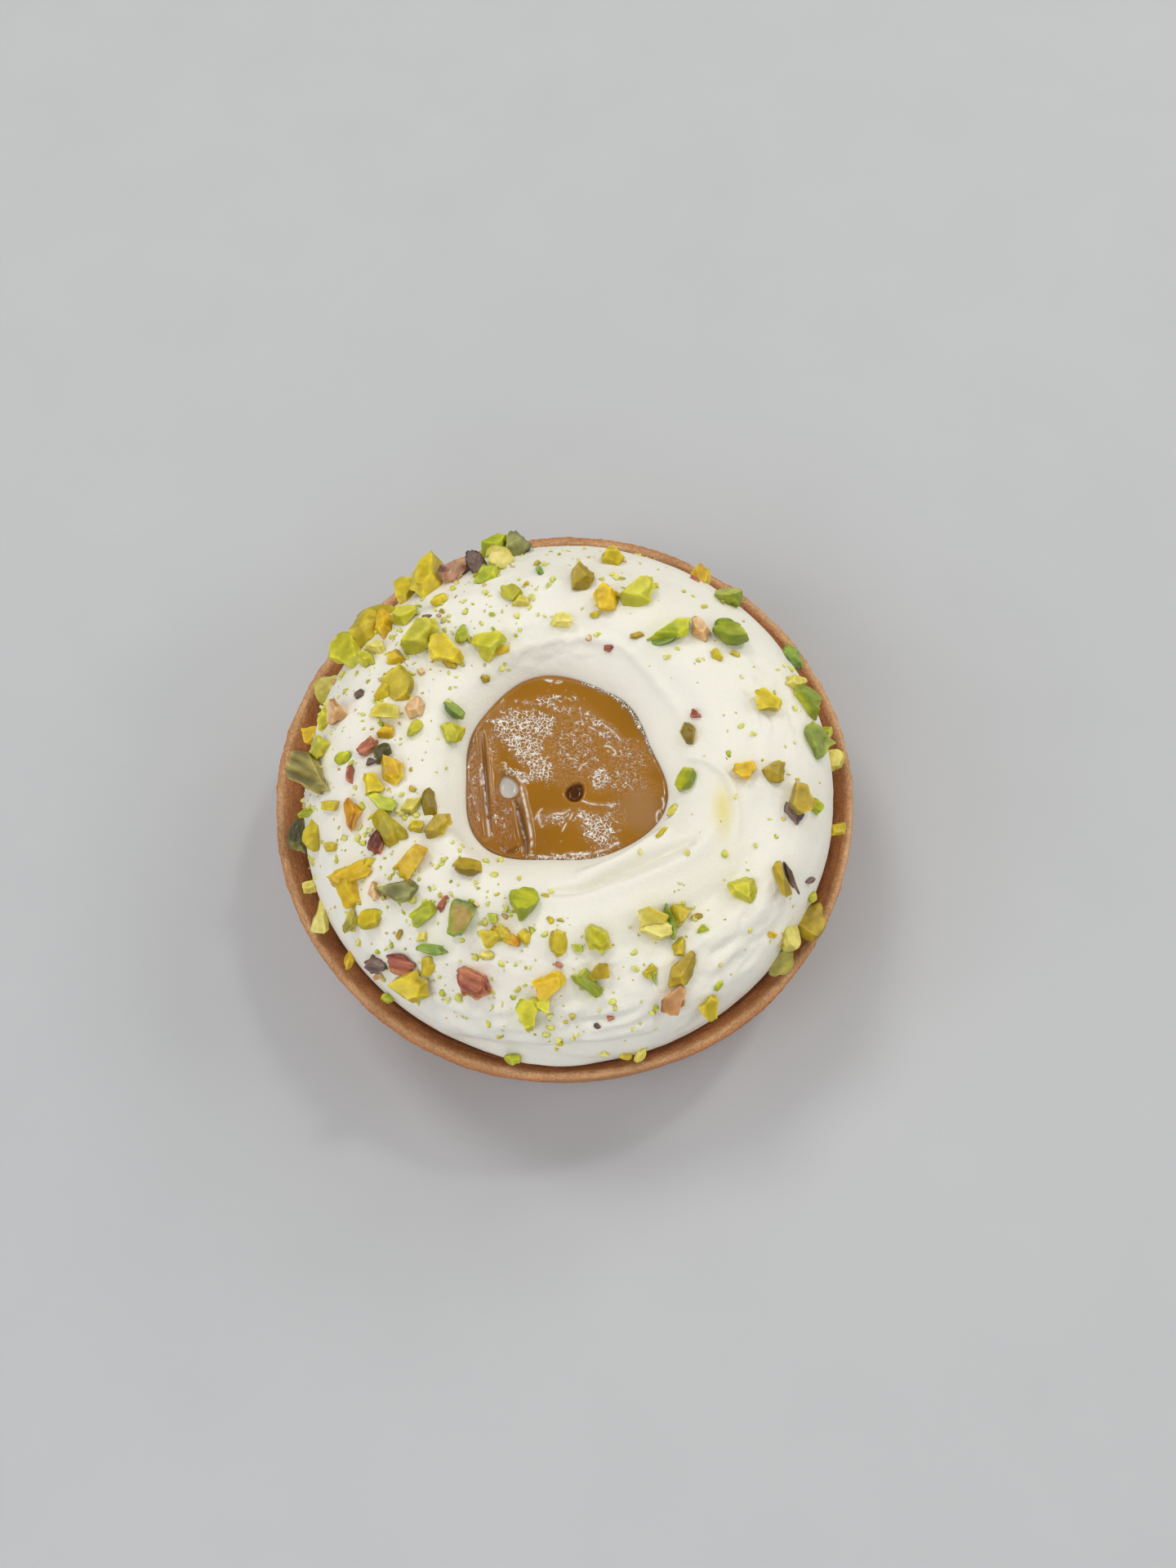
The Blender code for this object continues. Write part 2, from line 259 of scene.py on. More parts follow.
def set_corners(body: bpy.types.Object, places: np.ndarray) -> None:
    """Writes a mesh's corners from rows x, y, z."""
    body.data.vertices.foreach_set("co", places.ravel())
    body.data.update()


def swell(body: bpy.types.Object, lift: np.ndarray) -> None:
    """Moves each corner out along its smooth normal, by so many mm.

    Args:
        body: The mesh object, in mm.
        lift: How far each corner moves out.
    """
    flat = np.empty(len(body.data.vertices) * 3)
    body.data.vertex_normals.foreach_get("vector", flat)
    set_corners(body, corners(body) + flat.reshape(-1, 3) * lift[:, None])


def from_axis(places: np.ndarray) -> np.ndarray:
    """Gives each corner's distance from the tart's axis."""
    return np.hypot(places[:, 0], places[:, 1])


def grain(places: np.ndarray, scale: float, shift: float = 0.0) -> np.ndarray:
    """Reads smooth noise at many places.

    Args:
        places: Rows x, y, z in mm.
        scale: Noise cells per mm.
        shift: Moves to another part of the noise.

    Returns:
        One value from about -1 to 1 for each row.
    """
    away = Vector((shift, shift * 0.7, -shift))
    return np.array([noise.noise(Vector(place) * scale + away) for place in places])


def layered(places: np.ndarray, *layers: tuple[float, float, float]) -> np.ndarray:
    """Adds up layers of smooth noise, each given by its height, cells per mm and shift."""
    return sum(height * grain(places, scale, shift) for height, scale, shift in layers)


def paint(body: bpy.types.Object, name: str, colours: np.ndarray) -> None:
    """Stores a colour for each corner of a mesh.

    Args:
        body: The mesh object.
        name: The attribute's name.
        colours: Rows of linear red, green and blue.
    """
    layer = body.data.attributes.new(name, "FLOAT_COLOR", "POINT")
    rows = np.ones((len(colours), 4))
    rows[:, :3] = colours
    layer.data.foreach_set("color", rows.ravel())


def joined(name: str, parts: list[tuple[np.ndarray, np.ndarray, np.ndarray]],
           layer: str) -> bpy.types.Object:
    """Joins many small meshes into one object.

    Args:
        name: The object's name.
        parts: Corners, faces and corner colours of each.
        layer: The colour attribute's name.

    Returns:
        The object in mm, smooth shaded but for its broken edges.
    """
    counts = np.cumsum([0] + [len(places) for places, _, _ in parts[:-1]])
    places = np.concatenate([part[0] for part in parts])
    faces = np.concatenate([part[1] + first for part, first in zip(parts, counts)])
    mesh = bpy.data.meshes.new(name)
    mesh.from_pydata(places.tolist(), [], faces.tolist())
    mesh.shade_smooth()
    mesh.set_sharp_from_angle(angle=math.radians(BROKEN_EDGE))
    body = bpy.data.objects.new(name, mesh)
    bpy.context.scene.collection.objects.link(body)
    paint(body, layer, np.concatenate([part[2] for part in parts]))
    return body


def reshape(body: bpy.types.Object,
            move: Callable[[float, float, float], tuple[float, float]]) -> None:
    """Moves each corner by a rule in polar places.

    Args:
        body: The mesh object, in mm.
        move: Takes radius, bearing and height, and gives the new radius and height.
    """
    places = corners(body)
    bearings = np.degrees(np.arctan2(places[:, 1], places[:, 0])) % 360.0
    moved = np.array([move(*row) for row in zip(from_axis(places), bearings, places[:, 2])])
    turn = np.radians(bearings)
    set_corners(body, np.stack([moved[:, 0] * np.cos(turn), moved[:, 0] * np.sin(turn),
                                moved[:, 1]], axis=1))


def seat(piece: bpy.types.Object, replaced: str) -> None:
    """Scales a finished piece to metres and hands it to the frame.

    Args:
        piece: The piece, in mm.
        replaced: The CAD node that it stands for.
    """
    piece.data.transform(Matrix.Scale(METRES_PER_MM, 4))
    piece.data.update()
    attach(piece, "root")
    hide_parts(replaced)
    LOG.info("%s: %d faces", piece.name, len(piece.data.polygons))


@dataclass(frozen=True)
class Track:
    """A line drawn on the tart seen from above, in mm."""

    points: tuple[tuple[float, float], ...]

    def near(self, places: np.ndarray) -> tuple[np.ndarray, np.ndarray]:
        """Finds how far places lie from the line, and where along it.

        Args:
            places: Rows x, y, z in mm.

        Returns:
            The distance, positive on the line's left, and the share of the way along.
        """
        line = np.array(self.points)
        # Cutting the corners twice, a quarter of the way in, rounds the drawn line
        for _ in range(2):
            cut = np.stack([line[:-1] * 0.75 + line[1:] * 0.25,
                            line[:-1] * 0.25 + line[1:] * 0.75], axis=1).reshape(-1, 2)
            line = np.concatenate([line[:1], cut, line[-1:]])
        steps = line[1:] - line[:-1]
        lengths = np.linalg.norm(steps, axis=1)
        starts = np.concatenate([[0.0], np.cumsum(lengths)[:-1]])
        nearest = np.full(len(places), np.inf)
        side = np.ones(len(places))
        along = np.zeros(len(places))
        for first, step, length, start in zip(line, steps, lengths, starts):
            away = places[:, :2] - first
            share = np.clip(away @ step / length ** 2, 0.0, 1.0)
            gap = np.linalg.norm(away - share[:, None] * step, axis=1)
            closer = gap < nearest
            nearest[closer] = gap[closer]
            side[closer] = np.sign(step[0] * away[closer, 1] - step[1] * away[closer, 0])
            along[closer] = (start + share[closer] * length) / lengths.sum()
        return nearest * side, along


@dataclass(frozen=True)
class Mark:
    """A ridge, a groove (a negative ridge) or a step that follows a track, in mm."""

    track: Track
    width: float
    ridge: float = 0.0
    step: float = 0.0

    def lift(self, places: np.ndarray) -> np.ndarray:
        """Gives the mark's rise at each place, fading out at the track's ends.

        Args:
            places: Rows x, y, z in mm.

        Returns:
            One rise in mm for each row.
        """
        gap, along = self.track.near(places)
        across = gap / self.width
        ends = np.clip(np.sin(np.pi * along), 0.0, 1.0) ** 0.6
        return ends * bell(across, 0.0, 1.0) * (self.ridge + 1.6 * self.step * across)


@dataclass(frozen=True)
class Spot:
    """A round or oval place on the tart, in mm; a hollow where it has a depth.

    A taper narrows it towards the end that its turn (deg) points at.
    """

    middle: tuple[float, float]
    size: tuple[float, float]
    turn: float = 0.0
    depth: float = 0.0
    taper: float = 0.0

    def share(self, places: np.ndarray, sharp: float = 4.0) -> np.ndarray:
        """Gives 1 inside the spot and 0 outside.

        Args:
            places: Rows x, y, z in mm.
            sharp: How suddenly it ends; 2 is a soft bell.

        Returns:
            One value for each row.
        """
        away = places[:, :2] - np.array(self.middle)
        turn = math.radians(self.turn)
        along = away @ np.array((math.cos(turn), math.sin(turn))) / self.size[0]
        across = away @ np.array((-math.sin(turn), math.cos(turn))) / self.size[1]
        across = across / (1.0 - self.taper * np.clip(along, -1.0, 1.0))
        return np.exp(-np.hypot(along, across) ** sharp)


# --------------------------------------------------------------------------- finishes

@dataclass(frozen=True)
class BakedPastry:
    """Sweet pastry, rolled and baked golden brown in a ring."""

    # Baked sugar and flour leave a matt, sandy face with small open pores, so it has no
    # highlight and its tone changes from grain to grain.
    name: str = "baked_sweet_pastry"
    layer: str = "bake"
    sand_mm: float = 0.35
    pore_mm: float = 1.1
    speck: tuple[float, float] = (0.82, 1.2)
    bump: float = 0.55
    bump_mm: float = 0.25
    roughness: float = 0.72
    ior: float = 1.45

    def build(self) -> bpy.types.Material:
        """Makes the material from the painted bake colour, with its painted highlight and shade,
        sandy grain and pores.

        Returns:
            The material.
        """
        material, surface, place = start_material(self.name)
        tree = material.node_tree
        bake = add_node(tree, "Attribute", attribute_name=self.layer).outputs["Color"]
        sand = add_node(tree, "TexNoise", {"Vector": place, "Scale": cells(self.sand_mm),
                                           "Detail": 3.0}).outputs["Fac"]
        pores = add_node(tree, "TexNoise", {"Vector": place, "Scale": cells(self.pore_mm),
                                            "Detail": 6.0, "Roughness": 0.65}).outputs["Fac"]
        speck = add_node(tree, "MapRange", {
            "Value": sand, "From Min": 0.35, "From Max": 0.7,
            "To Min": self.speck[0], "To Max": self.speck[1]}).outputs[0]
        toned = add_node(tree, "Mix", {FACTOR: 1.0, FIRST: bake, SECOND: speck},
                         data_type="RGBA", blend_type="MULTIPLY").outputs[MIXED]
        both = add_node(tree, "Math", {0: sand, 1: pores}, operation="ADD").outputs[0]
        bump = add_node(tree, "Bump", {"Height": both, "Strength": self.bump,
                                       "Distance": self.bump_mm * METRES_PER_MM}).outputs[0]
        connect(surface, {"Base Color": toned, "Normal": bump, "IOR": self.ior,
                          "Roughness": self.roughness})
        return material


@dataclass(frozen=True)
class WhippedDairy:
    """Whipped cream, smoothed with a spoon."""

    # Fat and air make it soft and satin: a wide, dim highlight, a very fine grain, and a
    # little light that passes through thin edges.
    name: str = "smoothed_whipped_cream"
    layer: str = "stain_and_painted_light"
    curd_mm: float = 0.9
    fine_mm: float = 0.25
    bump: float = 0.45
    bump_mm: float = 0.15
    roughness: float = 0.42
    ior: float = 1.4
    glow: float = 0.2
    glow_tint: tuple[float, float, float] = (1.0, 0.9, 0.7)
    glow_mm: float = 0.6

    def build(self) -> bpy.types.Material:
        """Makes the material from the painted stains, painted shade and bounce light, and a faint
        whipped grain.

        Returns:
            The material.
        """
        material, surface, place = start_material(self.name)
        tree = material.node_tree
        stain_and_painted_light = add_node(tree, "Attribute", attribute_name=self.layer).outputs["Color"]
        curd = add_node(tree, "TexNoise", {"Vector": place, "Scale": cells(self.curd_mm),
                                           "Detail": 4.0, "Roughness": 0.6}).outputs["Fac"]
        fine = add_node(tree, "TexNoise", {"Vector": place, "Scale": cells(self.fine_mm),
                                           "Detail": 2.0}).outputs["Fac"]
        both = add_node(tree, "Math", {0: curd, 1: fine}, operation="ADD").outputs[0]
        bump = add_node(tree, "Bump", {"Height": both, "Strength": self.bump,
                                       "Distance": self.bump_mm * METRES_PER_MM}).outputs[0]
        connect(surface, {"Base Color": stain_and_painted_light, "Normal": bump, "IOR": self.ior,
                          "Roughness": self.roughness, "Subsurface Weight": self.glow,
                          "Subsurface Radius": self.glow_tint,
                          "Subsurface Scale": self.glow_mm * METRES_PER_MM})
        return material


@dataclass(frozen=True)
class PouredPraline:
    """Nut praline, poured warm and left to set."""

    # Its oil makes it dark and glossy. The white net on its skin is a painted highlight, the glints
    # of its tiny wrinkles, and its dim pinkish specks are painted sheen, drawn coarser than the
    # real ones so that the render can show them.
    name: str = "poured_nut_praline"
    # Attribute with the caramel tones and the painted shade
    layer: str = "caramel"
    # Attribute with the shares of the painted glints
    skin: str = "painted_glints"
    # White of the painted highlight: the glints of the set skin
    crest: str = "FFF8F0"
    # Pinkish tone of the painted sheen: dim glints too small to show one by one
    dim_glint: str = "C08C5C"
    cell_mm: float = 0.52
    bend_mm: float = 0.8
    warp_mm: float = 0.5
    patch_mm: float = 0.9
    dim_glint_mm: float = 0.3
    wall: tuple[float, float] = (0.05, 0.14)
    bump_mm: float = 0.1
    roughness: tuple[float, float] = (0.14, 0.32)
    ior: float = 1.48
    glow: float = 0.1
    glow_tint: tuple[float, float, float] = (1.0, 0.45, 0.12)
    glow_mm: float = 1.0

    def glint_net(self, tree: bpy.types.NodeTree, place: bpy.types.NodeSocket,
            share: bpy.types.NodeSocket) -> bpy.types.NodeSocket:
        """Draws the painted highlight of the skin's glints: a white net of bent cell walls, broken
        into patches.

        Args:
            tree: The material's node tree.
            place: Object coordinates.
            share: How thickly the net lies, from 0 to 1.

        Returns:
            The socket that gives the net, from 0 to 1.
        """
        bend = add_node(tree, "TexNoise", {"Vector": place, "Scale": cells(self.bend_mm),
                                           "Detail": 2.0}).outputs["Color"]
        swing = add_node(tree, "VectorMath", {0: bend, 1: (0.5, 0.5, 0.5)},
                         operation="SUBTRACT").outputs[0]
        drift = add_node(tree, "VectorMath",
                         {0: swing, "Scale": 2.0 * self.warp_mm * METRES_PER_MM},
                         operation="SCALE").outputs[0]
        bent = add_node(tree, "VectorMath", {0: place, 1: drift}, operation="ADD").outputs[0]
        gap = add_node(tree, "TexVoronoi", {"Vector": bent, "Scale": cells(self.cell_mm)},
                       feature="DISTANCE_TO_EDGE").outputs["Distance"]
        walls = add_node(tree, "MapRange", {
            "Value": gap, "From Min": self.wall[0], "From Max": self.wall[1],
            "To Min": 1.0, "To Max": 0.0}).outputs[0]
        cloud = add_node(tree, "TexNoise", {"Vector": bent, "Scale": cells(self.patch_mm),
                                            "Detail": 4.0, "Roughness": 0.7}).outputs["Fac"]
        # The thicker the net lies, the less of the cloud is cut away from it
        level = add_node(tree, "Math", {0: share, 1: 0.4, 2: -0.66},
                         operation="MULTIPLY_ADD").outputs[0]
        left = add_node(tree, "Math", {0: cloud, 1: level}, operation="ADD").outputs[0]
        patch = add_node(tree, "MapRange", {"Value": left, "From Min": 0.0,
                                            "From Max": 0.09}).outputs[0]
        return add_node(tree, "Math", {0: walls, 1: patch}, operation="MULTIPLY").outputs[0]

    def build(self) -> bpy.types.Material:
        """Makes the material: painted caramel and shade, the painted glint net, painted sheen
        specks and painted gleams.

        Returns:
            The material.
        """
        material, surface, place = start_material(self.name)
        tree = material.node_tree
        tone = add_node(tree, "Attribute", attribute_name=self.layer).outputs["Color"]
        skin = add_node(tree, "Attribute", attribute_name=self.skin).outputs["Color"]
        shares = add_node(tree, "SeparateColor", {0: skin}).outputs
        glint_net = self.glint_net(tree, place, shares["Red"])
        # Painted highlight: the glint net and the gleams, drawn in white
        white = add_node(tree, "Math", {0: glint_net, 1: shares["Blue"]},
                         operation="MAXIMUM").outputs[0]
        sand = add_node(tree, "TexNoise", {"Vector": place, "Scale": cells(self.dim_glint_mm),
                                           "Detail": 2.0, "Roughness": 0.7}).outputs["Fac"]
        dim_glint_specks = add_node(tree, "MapRange", {"Value": sand, "From Min": 0.49,
                                             "From Max": 0.57}).outputs[0]
        # Painted sheen: dim pinkish specks where the skin's glints are faint
        dim_glints = add_node(tree, "Math", {0: dim_glint_specks, 1: shares["Green"]},
                          operation="MULTIPLY").outputs[0]
        dim_glint, crest = (*linear(self.dim_glint), 1.0), (*linear(self.crest), 1.0)
        dusted = add_node(tree, "Mix", {FACTOR: dim_glints, FIRST: tone, SECOND: dim_glint},
                          data_type="RGBA").outputs[MIXED]
        toned = add_node(tree, "Mix", {FACTOR: white, FIRST: dusted, SECOND: crest},
                         data_type="RGBA").outputs[MIXED]
        height = add_node(tree, "Math", {0: dim_glints, 1: 0.5, 2: white},
                          operation="MULTIPLY_ADD").outputs[0]
        bump = add_node(tree, "Bump", {"Height": height, "Strength": 1.0,
                                       "Distance": self.bump_mm * METRES_PER_MM}).outputs[0]
        dull = add_node(tree, "Math", {0: dim_glints, 1: white}, operation="ADD").outputs[0]
        gloss = add_node(tree, "MapRange", {"Value": dull, "To Min": self.roughness[0],
                                            "To Max": self.roughness[1]}).outputs[0]
        connect(surface, {"Base Color": toned, "Normal": bump, "Roughness": gloss,
                          "IOR": self.ior, "Subsurface Weight": self.glow,
                          "Subsurface Radius": self.glow_tint,
                          "Subsurface Scale": self.glow_mm * METRES_PER_MM})
        return material


@dataclass(frozen=True)
class CutPistachio:
    """Pistachio kernel, chopped with a knife."""

    # Its oil makes the cut faces waxy, with a soft sheen, and light that goes in comes
    # out again green and yellow, so a piece glows at its thin edges.
    name: str = "chopped_pistachio"
    layer: str = "kernel"
    mottle_mm: float = 1.1
    shade: tuple[float, float] = (0.88, 1.14)
    bump: float = 0.5
    bump_mm: float = 0.3
    roughness: float = 0.42
    ior: float = 1.46
    glow: float = 0.45
    glow_tint: tuple[float, float, float] = (1.0, 0.85, 0.2)
    glow_mm: float = 1.0
    sheen: float = 0.12
    sheen_roughness: float = 0.22

    def build(self) -> bpy.types.Material:
        """Makes the material from the painted kernel colour, mottling and fine grain.

        Returns:
            The material.
        """
        material, surface, place = start_material(self.name)
        tree = material.node_tree
        kernel = add_node(tree, "Attribute", attribute_name=self.layer).outputs["Color"]
        mottle = add_node(tree, "TexNoise", {"Vector": place, "Scale": cells(self.mottle_mm),
                                             "Detail": 2.0, "Roughness": 0.5}).outputs["Fac"]
        shade = add_node(tree, "MapRange", {
            "Value": mottle, "From Min": 0.3, "From Max": 0.7,
            "To Min": self.shade[0], "To Max": self.shade[1]}).outputs[0]
        toned = add_node(tree, "Mix", {FACTOR: 1.0, FIRST: kernel, SECOND: shade},
                         data_type="RGBA", blend_type="MULTIPLY").outputs[MIXED]
        bump = add_node(tree, "Bump", {"Height": mottle, "Strength": self.bump,
                                       "Distance": self.bump_mm * METRES_PER_MM}).outputs[0]
        connect(surface, {"Base Color": toned, "Normal": bump, "IOR": self.ior,
                          "Roughness": self.roughness, "Subsurface Weight": self.glow,
                          "Subsurface Radius": self.glow_tint,
                          "Subsurface Scale": self.glow_mm * METRES_PER_MM,
                          "Coat Weight": self.sheen, "Coat Roughness": self.sheen_roughness})
        return material


@dataclass(frozen=True)
class StudioFloor:
    """Painted studio floor."""

    # Matt paint takes a soft shadow and no highlight. The faintest mottling keeps it from
    # reading as a flat fill.
    name: str = "matt_studio_floor"
    colour: str = "C4C6C8"
    clouds_per_m: float = 60.0
    mottle: float = 0.03
    roughness: float = 0.8

    def build(self) -> bpy.types.Material:
        """Makes the floor's material.

        Returns:
            The material.
        """
        material, surface, place = start_material(self.name)
        tree = material.node_tree
        cloud = add_node(tree, "TexNoise", {"Vector": place, "Scale": self.clouds_per_m,
                                            "Detail": 4.0}).outputs["Fac"]
        shade = add_node(tree, "MapRange", {"Value": cloud, "To Min": 1.0 - self.mottle,
                                            "To Max": 1.0 + self.mottle}).outputs[0]
        colour = (*linear(self.colour), 1.0)
        toned = add_node(tree, "Mix", {FACTOR: 1.0, FIRST: colour, SECOND: shade},
                         data_type="RGBA", blend_type="MULTIPLY").outputs[MIXED]
        connect(surface, {"Base Color": toned, "Roughness": self.roughness})
        return material


# ------------------------------------------------------------------------ the parts

@dataclass(frozen=True)
class Outline:
    """The outlines that the tart's parts share: the pool's lobes and the cream's edge."""

    rim_radius: float = 40.0
    rim_height: float = 20.0
    cream_radius: float = 36.6
    front_bulge: float = 1.1
    front_bearing: float = 275.0
    front_spread: float = 42.0
    left_dent: float = 1.0
    left_bearing: float = 173.0
    left_spread: float = 30.0
    pool_radius: float = 12.9
    pool_lobes: tuple[tuple[int, float, float], ...] = (
        (1, 0.52, -151.0), (2, 0.20, -93.0), (3, 0.78, -65.0), (4, 0.38, -159.0), (6, 0.29, -99.0))

    def edge_stray(self, bearing: float) -> float:
        """Gives how far the cream's outer edge lies outside its plain circle, in mm."""
        front = self.front_bulge * lump(bearing, self.front_bearing, self.front_spread)
        return front - self.left_dent * lump(bearing, self.left_bearing, self.left_spread)

    def pool_ratio(self, bearing: float) -> float:
        """Gives the pool's edge at a bearing as a part of its mean radius.

        Args:
            bearing: Degrees round the tart.

        Returns:
            A ratio near 1.
        """
        lobes = sum(size * math.cos(math.radians(count * bearing - turn))
                    for count, size, turn in self.pool_lobes)
        return 1.0 + lobes / self.pool_radius


@dataclass
class PastryShell:
    """The baked shell: solid foot, leaning wall and a cragged rim round the recess."""

    outline: Outline
    finish: BakedPastry = BakedPastry()
    foot_radius: float = 36.6
    wall: float = 2.5
    recess_floor: float = 13.0
    steps: int = 96
    levels: int = 3
    wander: float = 0.45
    crags: float = 0.22
    crumb: float = 0.14
    # Height where the crumb starts to deepen, and over how much
    crumb_from: tuple[float, float] = (16.0, 3.0)
    baked: str = "BA7C4C"
    # Pale baked edge, also standing as a painted highlight along the rim's top
    edge: str = "E8BC8C"
    # Painted shade: the darker brown of the recess and inner wall
    inside: str = "B27446"

    def section(self) -> Section:
        """Gives the rings of the turned shell: recess, inner wall, rim, wall and foot.

        Returns:
            Radius and height of each ring.
        """
        rim, top = self.outline.rim_radius, self.outline.rim_height
        floor, foot = self.recess_floor, self.foot_radius
        return (
            (0.0, floor), (rim * 0.5, floor), (rim - 7.6, floor), (rim - 5.6, floor + 0.8),
            (rim - 4.2, floor + 2.4), (rim - 3.2, top - 2.9), (rim - self.wall, top - 1.8),
            (rim - 1.8, top - 0.9), (rim - 1.0, top - 0.25), (rim - 0.35, top),
            (rim, top - 0.6), (rim - 1.0, top * 0.68), (rim - 2.2, top * 0.32),
            (foot, 0.9), (foot - 0.9, 0.0), (0.0, 0.0))

    def move(self, radius: float, bearing: float, height: float) -> tuple[float, float]:
        """Strays the rim from its circle and crags its top edge.

        Args:
            radius: Distance from the axis.
            bearing: Degrees round it.
            height: Height over the table.

        Returns:
            The new radius and height.
        """
        rim = self.outline.rim_radius
        if radius < rim - self.wall - 0.2 or height < self.recess_floor:
            return radius, height
        share = blend(self.recess_floor, self.outline.rim_height - 1.0, height)
        turn = math.radians(bearing)
        around = Vector((math.cos(turn), math.sin(turn), 0.0))
        wander = self.wander * noise.noise(around * 1.6)
        crag = self.crags * noise.noise(around * 9.0 + Vector((0.0, 0.0, radius * 0.6)))
        # The inner wall only strays outwards, to stay clear of the cream
        if radius < rim - 1.6:
            wander = max(0.0, wander)
        return radius + share * (wander + 0.5 * crag), height + share * crag

    def roughen(self, body: bpy.types.Object) -> None:
        """Adds crumbly relief, deepest on the rim, and keeps the foot flat.

        Args:
            body: The shell, in mm.
        """
        places = corners(body)
        depth = self.crumb * (0.4 + 0.6 * ramp(places[:, 2], *self.crumb_from))
        depth[places[:, 2] < 0.5] = 0.0
        swell(body, layered(places, (1.0, 0.9, 3.0), (0.6, 2.6, 9.0)) * depth)

    def bake(self, body: bpy.types.Object) -> None:
        """Paints the bake: pale rim edge with a painted highlight along it, painted shade in the
        recess, patchy brown wall.

        Args:
            body: The shell, in mm.
        """
        places = corners(body)
        radii = from_axis(places)
        rim, top = self.outline.rim_radius, self.outline.rim_height
        # Painted shade: the recess and inner wall are painted darker
        recess_shade = ramp(rim - radii, 1.4, 1.5) * (places[:, 2] > 8.0)
        # Painted highlight: a pale band just in from the rim's outer edge, where the baked edge is
        # paler too
        pale_edge_and_highlight = bell(radii, rim - 0.9, 0.45) * ramp(places[:, 2], top - 1.4, 1.0)
        patch = 0.5 + 0.5 * grain(places, 0.22, 5.0)
        tone = np.array(linear(self.baked)) * (0.85 + 0.3 * patch[:, None])
        tone = tint(tone, self.inside, 0.8 * recess_shade)
        tone = tint(tone, self.edge, pale_edge_and_highlight * (0.4 + 0.5 * patch))
        paint(body, self.finish.layer, tone)

    def build(self) -> bpy.types.Object:
        """Builds and dresses the shell.

        Returns:
            The piece, in mm, with its material.
        """
        shell = lathe("baked_shell", self.section(), self.steps, self.levels)
        reshape(shell, self.move)
        self.roughen(shell)
        self.bake(shell)
        shell.data.materials.append(self.finish.build())
        return shell


